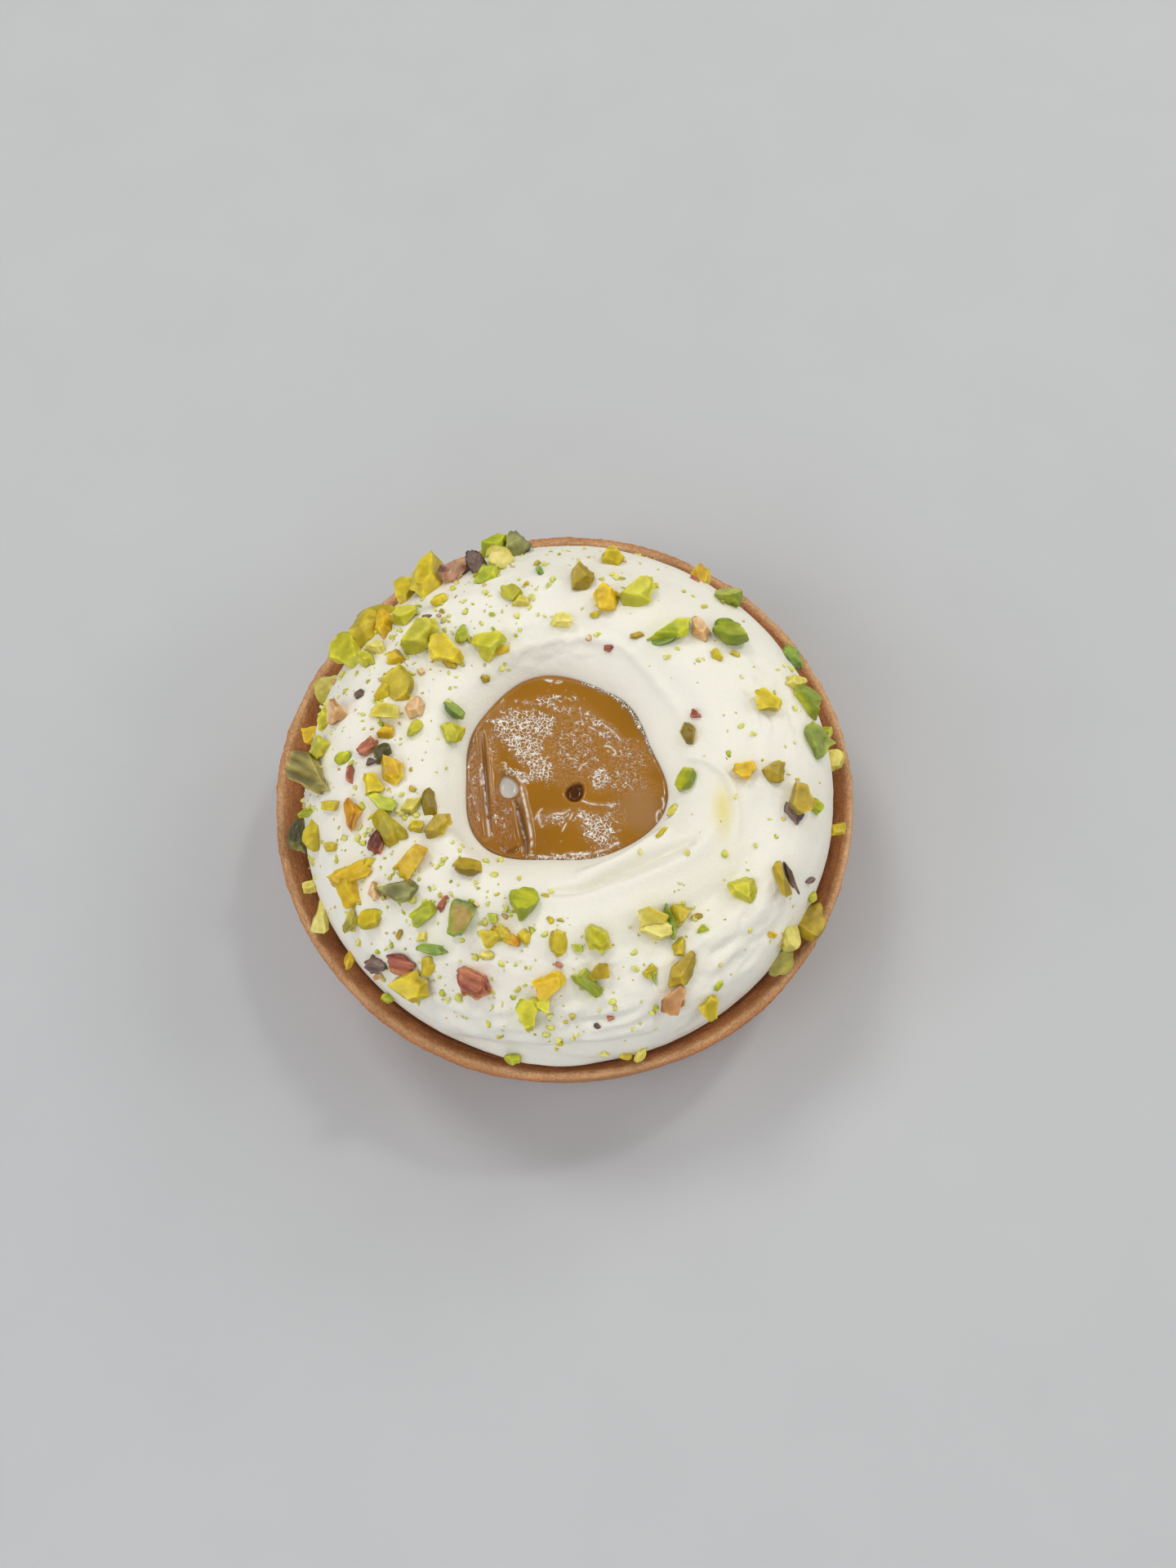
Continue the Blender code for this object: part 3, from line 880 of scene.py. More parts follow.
@dataclass
class WhippedCream:
    """The domed ring of cream, with the pool's dip and the spoon's soft marks."""

    outline: Outline
    finish: WhippedDairy = WhippedDairy()
    foot: float = 13.3
    crest: float = 32.1
    lip: float = 28.3
    pool_depth: float = 4.2
    praline_top: float = 27.9
    gap: float = 0.36
    steps: int = 64
    levels: int = 3
    crest_shift: float = 2.4
    crest_bearing: float = 345.0
    crest_spread: float = 52.0
    swirl: float = 0.35
    press: float = 1.35
    white: str = "F5F2E6"
    oil: str = "EBDD8E"
    oil_spot: tuple[float, float] = (20.4, -7.0)
    oil_size: tuple[float, float] = (1.3, 3.2)
    oil_share: float = 0.9
    # Nut oil round the chunks, together with the painted bounce light of their colour on the cream
    oil_and_bounce_mm: float = 0.8
    oil_and_bounce_share: float = 0.10
    # Painted shade with a little nut oil: a faint warm, darker cast on the hollow at the front
    # right, for shading that the lamps don't give
    oil_and_shade_haze: Spot = Spot((17.5, -18.5), (9.0, 6.5), 40.0)
    oil_and_shade_haze_share: float = 0.08
    # Radius and height where the spoon's marks begin, and over how much they grow
    marked_from: tuple[float, float] = (14.2, 1.0)
    marked_above: tuple[float, float] = (19.6, 1.5)
    # Where the spoon drew: the lip of the pool, the front's folds and creases, then the rest
    marks: tuple[Mark, ...] = (
        Mark(Track(((-10.4, 12.8), (-8.8, 14.6), (-7.4, 15.0), (-5.6, 16.6), (-3.8, 16.7),
                    (-1.7, 17.6), (0.4, 17.3), (2.4, 17.8), (4.6, 17.3), (7.4, 16.4),
                    (10.5, 13.6), (13.5, 9.5), (15.8, 5.7), (16.4, 2.4))), 0.7, ridge=0.34),
        Mark(Track(((14.6, 0.5), (17, 0.2), (19.2, -1.0), (20.9, -2.8), (21.8, -5), (22.2, -8),
                    (21.6, -11.5))), 0.6, ridge=0.15, step=0.3),
        Mark(Track(((16.8, -11.1), (14, -11.7), (12, -12.3), (10, -13.2), (8, -14.1), (6, -15.4),
                    (4, -16.7), (1.5, -17.7), (-2, -17.9))), 0.62, ridge=-1.5),
        Mark(Track(((20.4, -7.5), (19.0, -10.4), (16.5, -12.9), (13.5, -14.6), (10.5, -15.9),
                    (4.6, -18.2), (1, -19.0), (-4, -19.4))), 1.1, ridge=0.5),
        Mark(Track(((14.5, -11.9), (12.4, -12.6), (10.4, -13.4), (8.4, -14.6), (6.4, -16.0))),
             1.7, ridge=-0.3),
        Mark(Track(((13.8, -8.6), (11.6, -10.2), (9.2, -11.9), (6.6, -13.6), (4.0, -14.9),
                    (1.4, -15.5))), 0.75, ridge=0.75),
        Mark(Track(((26, -4), (24.6, -9.5), (22, -15), (18, -20), (12.5, -23.8), (6, -26),
                    (0, -26.6))), 4.2, ridge=-1.3),
        Mark(Track(((22.6, -0.4), (24.8, -4), (25.8, -8.5), (24.8, -13), (21.8, -16.8),
                    (17.4, -19.8), (11.6, -22.2), (5.5, -23.4))), 2.1, ridge=-0.5),
        Mark(Track(((28.6, -13.0), (25.8, -18), (21.6, -22.0), (16.5, -24.8))), 1.5, ridge=0.35),
        Mark(Track(((-14, -34.6), (-9.6, -36.0), (-6, -36.5), (-2, -37.0), (3, -36.8), (8, -36.0),
                    (12, -34.6))), 0.42, ridge=-1.0),
        Mark(Track(((-12, -35.8), (-6, -37.6), (0, -38.0), (5, -37.6))), 0.5, ridge=0.45),
        Mark(Track(((-9, -33.0), (-3, -33.9), (3, -34.0), (8, -33.2), (14, -31.0))),
             0.5, ridge=-0.28),
        Mark(Track(((-13, -31.0), (-6, -32.9), (1, -32.6), (7, -31.9))), 0.8, ridge=0.16),
        Mark(Track(((-25, -25.4), (-20.5, -29.4), (-15, -32.3), (-9, -34.3))), 0.45, ridge=-0.22),
        Mark(Track(((-21, -27.2), (-17, -29.9), (-12, -31.9))), 0.4, ridge=-0.18),
        Mark(Track(((12, -30.8), (19, -28.0), (24, -24.5), (28, -20.0))), 0.5, ridge=-0.24),
        Mark(Track(((11, -28.6), (17, -26.6), (21.5, -23.6), (25.5, -19.4))), 0.55, ridge=-0.2),
        Mark(Track(((15, -31.4), (21, -28.6), (26, -24.4), (30, -18.6))), 0.5, ridge=0.15),
        Mark(Track(((23.5, 14), (25.2, 7), (25.6, 1), (26.6, -5), (27.4, -11), (26, -15))),
             1.4, ridge=0.2),
        Mark(Track(((20.5, 13), (22, 6), (23, 0), (24.4, -5))), 1.8, ridge=-0.36),
        Mark(Track(((-16, 3), (-16.8, -3), (-16, -9), (-13.5, -14), (-9, -17.6))), 1.5, ridge=0.16),
        Mark(Track(((-17, 21), (-11, 24.5), (-4, 26.6), (4, 27), (12, 25))), 1.6, ridge=0.18),
        Mark(Track(((-13, 18.5), (-7, 21.6), (0, 22.9), (8, 22))), 1.5, ridge=-0.18),
    )
    # Where the surface is ruffled, and how deeply
    ruffles: tuple[tuple[Spot, float], ...] = (
        (Spot((0.0, -29.0), (24.0, 5.6)), 0.24), (Spot((0.0, -34.4), (18.0, 2.8)), 0.3),
        (Spot((27.0, 9.0), (4.4, 6.6), 18.0), 0.34),
        (Spot((22.5, -22.0), (8.0, 4.4), 42.0), 0.38),
        (Spot((0.0, 15.6), (13.0, 1.7), 0.0), 0.13),
        (Spot((-20.0, -24.0), (9.0, 4.5), -50.0), 0.12),
        (Spot((-2.0, 19.0), (11.0, 1.9), -3.0), 0.17),
        (Spot((2.0, 28.0), (18.0, 5.0), -4.0), 0.1), (Spot((-19.0, 4.0), (3.0, 14.0), 0.0), 0.09))
    # Where the lip lies along the front and how wide it is, the radius where it starts, and
    # the height, width and depth of the crease under it and of its swell
    lip_span: tuple[float, float] = (-3.5, 7.5)
    lip_from: tuple[float, float] = (35.4, 0.8)
    lip_fold: tuple[float, float, float] = (22.1, 0.8, 0.6)
    lip_swell: tuple[float, float, float] = (20.4, 0.75, 0.3)
    base: BVHTree | None = field(default=None, repr=False)

    def section(self) -> Section:
        """Gives the rings of the turned cream: pool, lip, dome, edge and underside.

        Returns:
            Radius and height of each ring.
        """
        floor = self.lip - self.pool_depth
        pool, edge = self.outline.pool_radius, self.outline.cream_radius
        return (
            (0.0, floor), (pool * 0.78, floor), (pool - 0.5, floor + 1.1),
            (pool + self.gap, self.praline_top - 0.7), (pool + self.gap + 0.4, self.lip),
            (15.1, 29.9), (16.7, 31.2), (18.9, self.crest - 0.1), (21.9, self.crest),
            (25.4, 31.8), (28.8, 30.8), (31.9, 29.2), (34.4, 27.0), (35.9, 24.5),
            (edge, 21.9), (edge, 20.0), (edge - 0.25, 18.5), (edge - 0.6, 17.0),
            (edge - 1.3, self.foot + 2.3), (edge - 2.6, self.foot + 0.8),
            (edge - 4.4, self.foot), (0.0, self.foot))

    def move(self, radius: float, bearing: float, height: float) -> tuple[float, float]:
        """Gives the cream its pool outline, wide crest, uneven edge and waves.

        Args:
            radius: Distance from the axis.
            bearing: Degrees round it.
            height: Height over the table.

        Returns:
            The new radius and height.
        """
        pool = self.outline.pool_radius
        near_pool = 1.0 - blend(pool + 0.5, pool + 6.0, radius)
        moved = radius * (1.0 + near_pool * (self.outline.pool_ratio(bearing) - 1.0))
        crest = blend(pool + 0.6, 18.0, radius) * (1.0 - blend(19.0, 30.0, radius))
        moved += self.crest_shift * crest * lump(bearing, self.crest_bearing, self.crest_spread)
        low = blend(16.8, 20.0, height)
        moved += low * blend(28.0, 35.5, radius) * self.outline.edge_stray(bearing)
        top = blend(26.0, 30.0, height) * blend(15.0, 19.0, radius)
        turn = math.radians(bearing) * 2.0 - radius * 0.32
        return moved, height + self.swirl * top * math.sin(turn)

    def smear(self, body: bpy.types.Object) -> None:
        """Presses the spoon's marks and a faint unevenness into the surface.

        Args:
            body: The cream, in mm.
        """
        places = corners(body)
        radii = from_axis(places)
        bearings = np.arctan2(places[:, 1], places[:, 0])

        def drawn(across: float, along: float) -> np.ndarray:
            """Gives places whose noise is drawn out round the tart, as the spoon went."""
            return np.stack([radii * across, np.cos(bearings) * along,
                             np.sin(bearings) * along], axis=1)

        lift = self.press * sum(mark.lift(places) for mark in self.marks)
        lift = lift + layered(places, (0.10, 0.16, 2.0), (0.045, 0.55, 7.0))
        lift = lift + 0.07 * grain(drawn(1.1, 5.0), 1.0, 4.0) * ramp(radii, 20.0, 8.0, 0.2)
        ruffle = (layered(drawn(0.95, 9.0), (1.0, 1.0, 6.0), (0.6, 2.1, 2.0))
                  + 0.35 * grain(places, 1.1, 3.0))
        lift = lift + ruffle * sum(zone.share(places) * depth for zone, depth in self.ruffles)
        shown = ramp(radii, *self.marked_from) * ramp(places[:, 2], *self.marked_above)
        swell(body, lift * shown + self.front_lip(places))

    def front_lip(self, places: np.ndarray) -> np.ndarray:
        """Folds the cream's foot over into a lip along the front of the rim.

        Args:
            places: Corners in mm.

        Returns:
            How far each corner moves out.
        """
        middle, half = self.lip_span
        along = np.exp(-((places[:, 0] - middle) / half) ** 4) * (places[:, 1] < 0.0)
        wander = places[:, 2] + 0.35 * np.sin(places[:, 0] * 0.42)
        fold, rise = (bell(wander, height, width) * depth
                      for height, width, depth in (self.lip_fold, self.lip_swell))
        return along * ramp(from_axis(places), *self.lip_from) * (rise - fold)

    def stain_and_painted_light(self, body: bpy.types.Object, nuts: list[tuple[Vector, float]]) -> None:
        """Paints the cream: nut oil and painted bounce light round the chunks, nut oil at the oil
        spot, and painted shade at the front right.

        Args:
            body: The cream, in mm.
            nuts: Middle and half-length of each chunk.
        """
        places = corners(body)
        oil_and_bounce = np.zeros(len(places))
        # Nut oil and painted bounce light, fading with the distance from each chunk
        for middle, reach in nuts:
            away = np.linalg.norm(places - np.array(middle), axis=1) - 0.75 * reach
            oil_and_bounce = np.maximum(oil_and_bounce, bell(np.clip(away, 0.0, None), 0.0, self.oil_and_bounce_mm))
        spot = (bell(places[:, 0], self.oil_spot[0], self.oil_size[0])
                * bell(places[:, 1], self.oil_spot[1], self.oil_size[1]))
        # Painted shade at the front right, with the real oil and the painted bounce light
        share = (self.oil_and_bounce_share * oil_and_bounce + self.oil_and_shade_haze_share * self.oil_and_shade_haze.share(places, 2.0)
                 + self.oil_share * spot * (places[:, 2] > 25.0))
        paint(body, self.finish.layer,
              tint(np.array(linear(self.white)), self.oil, np.clip(share, 0.0, 1.0)))

    def build(self) -> bpy.types.Object:
        """Builds the bare cream and keeps its surface for seating the nuts.

        Returns:
            The cream, in mm, before it is painted.
        """
        cream = lathe("spooned_cream", self.section(), self.steps, self.levels)
        reshape(cream, self.move)
        self.smear(cream)
        self.base = BVHTree.FromPolygons([tuple(place) for place in corners(cream)],
                                         [tuple(face.vertices) for face in cream.data.polygons])
        return cream

    def dress(self, body: bpy.types.Object, nuts: list[tuple[Vector, float]]) -> None:
        """Paints the cream and gives it its material."""
        self.stain_and_painted_light(body, nuts)
        body.data.materials.append(self.finish.build())


@dataclass
class PralinePool:
    """The poured praline: lobed outline, folds on its left, a hole and a pit."""

    outline: Outline
    finish: PouredPraline = PouredPraline()
    top: float = 27.9
    floor: float = 24.4
    steps: int = 72
    levels: int = 3
    relief: float = 0.14
    spread: float = 0.55
    brim: float = 0.25
    oily_mm: float = 0.45
    caramel: str = "A06C1C"
    strip: str = "9A6836"
    tongue_tone: str = "935A22"
    # Painted shade in the grooves, in the pit and round the hole
    shade_brown: str = "5A3008"
    matt: str = "A87E52"
    cream: str = "CFCAC0"
    rim: str = "7C6A4C"
    hole: Spot = Spot((-7.5, -2.45), (1.65, 1.25), 112.0, 0.8, 0.3)
    pit: Spot = Spot((1.4, -3.2), (1.35, 1.05), 55.0, 1.0, 0.25)
    patch: Spot = Spot((10.1, -5.9), (2.7, 3.1), 20.0)
    tongue: Spot = Spot((-8.0, -7.2), (2.0, 5.0), 8.0)
    left: Spot = Spot((-11.9, -2.5), (1.5, 8.0), 3.0)
    oily: Track = Track(((2.6, 12.6), (5.2, 11.6), (7.6, 9.9), (9.4, 7.6), (10.9, 4.6),
                         (11.8, 2.4)))
    # Folds and ropes of the poured praline, on its left and round its tongue
    folds: tuple[Mark, ...] = (
        Mark(Track(((-11.2, 5.8), (-10.7, 1.5), (-10.45, -1.5), (-10.1, -5), (-9.7, -9.5))),
             0.24, ridge=-0.34),
        Mark(Track(((-11.6, 5.6), (-11.2, 1.8), (-10.95, -1), (-10.6, -4.5), (-10.2, -9.5))),
             0.28, ridge=0.26, step=0.2),
        Mark(Track(((-10.6, 5.5), (-10.15, 1.5), (-9.9, -1.5), (-9.55, -5), (-9.1, -9))),
             0.34, ridge=0.24),
        Mark(Track(((-12.4, -1.5), (-12.1, -4.2), (-11.3, -7.8))), 0.22, ridge=0.2),
        Mark(Track(((-6.4, -0.7), (-5.8, -2.2), (-5.2, -5), (-4.7, -7), (-4.2, -10),
                    (-4.3, -12.2))), 0.3, ridge=0.45),
        Mark(Track(((-6.7, -3.6), (-6.0, -5.5), (-5.5, -8), (-5.0, -10.5), (-5.0, -12.4))),
             0.36, ridge=-0.5),
        Mark(Track(((-7.0, -5.4), (-6.2, -8.2), (-5.8, -11.0))), 0.24, ridge=0.2),
        Mark(Track(((-9.1, 0.2), (-8.2, -0.3), (-7.1, -0.6), (-6.1, -1.4))), 0.3, ridge=0.4),
        Mark(Track(((-6.2, -1.6), (-5.9, -3.2), (-6.2, -4.6))), 0.22, ridge=0.22),
        Mark(Track(((-8.2, -10.6), (-7.4, -11.6), (-6.4, -11.4), (-5.8, -10.4))), 0.3, ridge=-0.25),
        Mark(Track(((2.2, -4.5), (3.5, -5.05), (6.2, -5.2))), 0.2, ridge=0.14),
        Mark(Track(((3, 6.2), (5, 4.8), (7.6, 3.0))), 0.3, ridge=-0.12),
        Mark(Track(((4.4, 7.2), (6.4, 5.6), (8.2, 3.6))), 0.3, ridge=0.12),
    )
    # White threads of glint on the folds, each a track and its width
    gleams: tuple[tuple[Track, float], ...] = (
        (Track(((-11.15, 0.6), (-10.85, -0.6), (-10.62, -2.0), (-10.75, -3.1), (-11.0, -2.2),
                (-11.2, -0.6), (-11.15, 0.6))), 0.09),
        (Track(((-10.5, -3.3), (-10.2, -6.2), (-9.8, -9.4))), 0.08),
        (Track(((-5.75, -2.6), (-5.3, -4.8), (-4.8, -6.9), (-4.3, -9.6), (-4.25, -11.6))), 0.12),
        (Track(((-6.2, -1.2), (-5.7, -2.0), (-5.2, -1.5))), 0.14),
        (Track(((-6.3, -5.4), (-5.9, -7.2), (-5.2, -9.6))), 0.07),
        (Track(((-8.35, 0.75), (-8.0, 0.9), (-7.8, 0.55), (-8.05, 0.3), (-8.35, 0.75))), 0.08),
        (Track(((-3.0, -5.7), (-3.5, -6.2), (-3.35, -7.2), (-2.9, -8.1))), 0.1),
        (Track(((-2.3, -6.9), (-1.2, -6.2), (-0.3, -6.4), (0.6, -5.8))), 0.09),
        (Track(((1.0, -5.9), (0.9, -6.8), (0.1, -7.8), (-0.4, -9.0))), 0.07),
        (Track(((2.3, -4.5), (3.4, -5.0), (4.8, -5.15), (6.3, -5.1))), 0.08),
        (Track(((1.9, -0.2), (2.2, 0.5), (2.9, 0.8))), 0.08),
        (Track(((5.3, 3.3), (6.0, 3.3), (6.9, 2.3), (6.3, 1.9), (5.7, 2.6))), 0.08),
        (Track(((3.2, 6.1), (4.6, 5.3), (5.8, 4.1))), 0.07),
        (Track(((4.9, 6.6), (6.6, 5.2), (7.4, 4.1))), 0.06),
        (Track(((0.9, -11.9), (3.2, -11.9), (5.4, -11.2), (7.0, -10.4))), 0.12),
        (Track(((-4.6, -12.0), (-2.2, -12.3), (0.2, -12.3))), 0.08),
        (Track(((12.9, -4.2), (13.1, -5.0), (12.9, -5.6))), 0.1),
        (Track(((12.1, -6.3), (12.5, -5.8), (12.75, -6.6), (12.35, -7.6), (12.0, -7.2),
                (12.1, -6.3))), 0.09),
        (Track(((-3.0, 13.1), (-1.8, 12.9), (-0.6, 12.9), (-0.4, 12.6), (-1.4, 12.5),
                (-3.0, 13.1))), 0.07),
    )
    # Where the painted glints lie: how thick the glint net is there, and how thick the dim sheen
    # specks
    glint_areas: tuple[tuple[Spot, float, float], ...] = (
        (Spot((-6.4, 6.4), (4.0, 2.7), 12.0), 0.86, 0.3),
        (Spot((-5.4, 3.2), (4.0, 2.3), -48.0), 0.86, 0.3),
        (Spot((-3.4, 0.4), (3.0, 1.8), -40.0), 0.78, 0.3),
        (Spot((-2.9, 6.2), (2.0, 2.2), 0.0), 0.82, 0.2),
        (Spot((-4.2, -1.1), (2.4, 1.0), 0.0), 0.7, 0.2),
        (Spot((-2.6, 9.9), (5.2, 1.0), 4.0), 0.55, 0.1),
        (Spot((0.8, 8.4), (4.6, 1.1), -14.0), 0.45, 0.3),
        (Spot((1.4, 3.2), (3.8, 4.8), 0.0), 0.4, 1.1),
        (Spot((4.2, 6.8), (3.4, 1.0), -32.0), 0.5, 0.5),
        (Spot((6.4, 4.2), (3.0, 1.2), -36.0), 0.48, 0.6),
        (Spot((4.7, -1.2), (1.6, 2.0), 0.0), 0.7, 0.9),
        (Spot((8.4, 1.2), (2.8, 2.6), -20.0), 0.45, 0.95),
        (Spot((8.0, -1.8), (3.6, 2.0), -25.0), 0.5, 0.95),
        (Spot((-1.4, -6.9), (2.6, 1.2), 5.0), 0.5, 0.5),
        (Spot((4.4, -8.6), (2.1, 3.4), 38.0), 0.84, 0.4),
        (Spot((2.8, -6.6), (2.2, 1.0), -20.0), 0.66, 0.3),
        (Spot((0.8, -12.2), (6.4, 0.6), 3.0), 0.75, 0.1),
        (Spot((6.8, -6.2), (1.6, 2.0), 0.0), 0.5, 0.7),
        (Spot((-12.0, -2.0), (1.1, 6.8), 2.0), 0.38, 0.7),
        (Spot((-8.4, -6.8), (1.5, 3.6), 8.0), 0.36, 0.5),
        (Spot((-9.7, 3.2), (0.8, 3.4), 6.0), 0.4, 0.7),
        (Spot((-6.8, -0.6), (1.6, 0.7), -30.0), 0.8, 0.0))

    def section(self) -> Section:
        """Gives the rings of the turned pool, close enough together to carry the folds.

        Returns:
            Radius and height of each ring.
        """
        pool = self.outline.pool_radius
        rings = tuple((pool * part / 10.0, self.top) for part in range(10))
        return rings + (
            (pool * 0.96, self.top), (pool * 0.995, self.top - 0.1), (pool, self.top - 0.7),
            (pool - 0.9, self.floor + 1.2), (pool * 0.74, self.floor), (0.0, self.floor))

    def move(self, radius: float, bearing: float, height: float) -> tuple[float, float]:
        """Gives the pool its lobed outline and uneven surface.

        Args:
            radius: Distance from the axis.
            bearing: Degrees round it.
            height: Height over the table.

        Returns:
            The new radius and height.
        """
        moved = radius * self.outline.pool_ratio(bearing)
        # The top spreads a little over the cream, so that no gap shows round it
        moved += self.spread * blend(11.5, 12.9, radius) * blend(26.6, 27.4, height)
        if height > self.top - 0.6:
            turn = math.radians(bearing)
            spot = Vector((moved * math.cos(turn), moved * math.sin(turn), 0.0))
            height += self.relief * noise.noise(spot * 0.22)
        return moved, height

    def settle(self, body: bpy.types.Object) -> tuple[np.ndarray, np.ndarray]:
        """Presses the folds, hole and pit into the top.

        Args:
            body: The pool, in mm.

        Returns:
            The hole's and the pit's share at each corner.
        """
        places = corners(body)
        top = ramp(places[:, 2], self.top - 0.5, 0.2)
        hole = self.hole.share(places, 7.0) * top
        pit = self.pit.share(places, 6.0) * top
        brim = np.clip(self.hole.share(places, 2.0) - self.hole.share(places, 5.0), 0.0, 1.0)
        lift = sum(mark.lift(places) for mark in self.folds) + self.brim * brim
        lift = lift + layered(places, (0.03, 0.8, 4.0), (0.05, 0.3, 1.0))
        places[:, 2] += top * lift * (1.0 - hole) - hole * self.hole.depth - pit * self.pit.depth
        set_corners(body, places)
        return hole, pit

    def glaze(self, body: bpy.types.Object, hole: np.ndarray, pit: np.ndarray) -> None:
        """Paints the caramel tones, painted shade in the grooves, in the pit and round the hole,
        and where the painted glints lie on them.

        Args:
            body: The pool, in mm.
            hole: Share of the hole at each corner.
            pit: Share of the pit at each corner.
        """
        places = corners(body)
        cloud = 0.5 + 0.5 * grain(places, 0.18, 1.0)
        tone = np.array(linear(self.caramel)) * (0.88 + 0.24 * cloud[:, None])
        oily = bell(self.oily.near(places)[0], 0.0, self.oily_mm)
        groove_shade = sum(np.clip(-mark.lift(places), 0.0, None) for mark in self.folds)
        for colour, share in (
                (self.strip, 0.85 * self.left.share(places)),
                (self.tongue_tone, 0.7 * self.tongue.share(places)),
                (self.matt, 0.8 * self.patch.share(places)),
                # Painted shade: darker brown in the grooves, in the pit and round the hole
                (self.shade_brown, np.clip(2.2 * groove_shade, 0.0, 0.7)),
                (self.rim, 0.8 * oily),
                (self.shade_brown, np.clip(1.5 * pit, 0.0, 1.0)),
                (self.shade_brown, 0.6 * np.clip(self.hole.share(places, 2.5) - 0.25, 0.0, 1.0)),
                (self.cream, np.clip(hole * 2.4 - 0.9, 0.0, 1.0))):
            tone = tint(tone, colour, share)
        paint(body, self.finish.layer, tone)
        clear = (1.0 - hole) * (1.0 - pit) * (1.0 - 0.9 * self.patch.share(places))
        self.paint_glints(body, oily, clear)

    def paint_glints(self, body: bpy.types.Object, oily: np.ndarray, clear: np.ndarray) -> None:
        """Paints where the painted highlights lie: the glint net in red, the dim sheen specks in
        green, the gleams in blue.

        Args:
            body: The pool, in mm.
            oily: Share of the oily edge at each corner.
            clear: Share of glint net and sheen specks that each corner may carry.
        """
        places = corners(body)
        skin = np.zeros((len(places), 3))
        stir = 1.0 + 0.25 * grain(places, 0.7, 8.0)
        for area, glint_net, dim_glint in self.glint_areas:
            share = area.share(places, 3.0) * stir
            skin[:, 0] = np.maximum(skin[:, 0], share * glint_net)
            skin[:, 1] = np.maximum(skin[:, 1], share * dim_glint)
        # The oily edge carries painted glints too
        skin[:, 0] = np.maximum(skin[:, 0], 0.8 * oily)
        skin *= clear[:, None]
        broken = np.clip(0.8 + 1.6 * grain(places, 1.6, 5.0), 0.0, 1.0)
        for track, width in self.gleams:
            gleam = bell(track.near(places)[0], 0.0, 1.25 * width)
            skin[:, 2] = np.maximum(skin[:, 2], gleam * broken)
        paint(body, self.finish.skin, np.clip(skin, 0.0, 1.0))

    def build(self) -> bpy.types.Object:
        """Builds and dresses the pool.

        Returns:
            The piece, in mm, with its material.
        """
        pool = lathe("poured_praline", self.section(), self.steps, self.levels)
        reshape(pool, self.move)
        hole, pit = self.settle(pool)
        self.glaze(pool, hole, pit)
        pool.data.materials.append(self.finish.build())
        return pool


# ---------------------------------------------------------------------- pistachios

@dataclass(frozen=True)
class Nut:
    """How a kind of piece looks: its tones of flesh and skin, and its grain."""

    tones: tuple[str, str, str]
    peel: float = 0.8
    fibrous: bool = False
    heart: str = "E6D880"


class Kind(Enum):
    """Kinds of chopped piece."""

    PALE = Nut(("E8DC7C", "D0BE46", "B0A83A"), peel=0.5)
    YELLOW = Nut(("DAC42E", "BAA41A", "9A901C"), peel=0.45)
    GOLD = Nut(("E2C024", "CAA018", "AC821C"), peel=0.5)
    CITRUS = Nut(("D6D03E", "B6B026", "889420"), peel=0.6)
    LIME = Nut(("C4C62E", "98A41E", "687E20"), peel=0.6)
    PINE = Nut(("98AE48", "688634", "466232"), peel=0.7)
    OLIVE = Nut(("D0C256", "A2983C", "70722E"), peel=0.6, heart="D2B070")
    OCHRE = Nut(("BEA228", "9A841A", "745F1A"), peel=0.6)
    TAN = Nut(("E8C294", "CA9A64", "A06E3E"))
    BARK = Nut(("D8AA8C", "A47462", "603C32"), fibrous=True)
    SKIN = Nut(("C88462", "8E4030", "5A2A22"), fibrous=True, heart="B4623A")
    PLUM = Nut(("846A5E", "4E3E3A", "302626"), fibrous=True)
    RUST = Nut(("CFA070", "B08050", "7E5030"))
    HUSK = Nut(("9CA444", "6A7E32", "485A28"), peel=0.6, heart="B89450")
    AMBER = Nut(("E2B030", "BC7E18", "8A4A16"))
    MOSS = Nut(("98985A", "66602E", "3E3A1E"), peel=0.7, heart="B0A878")
    FIBRE = Nut(("B4A65E", "6A602C", "46401E"), peel=0.2, fibrous=True)
    CRUMB = Nut(("E6E080", "D0CC50", "A8AE3C"))


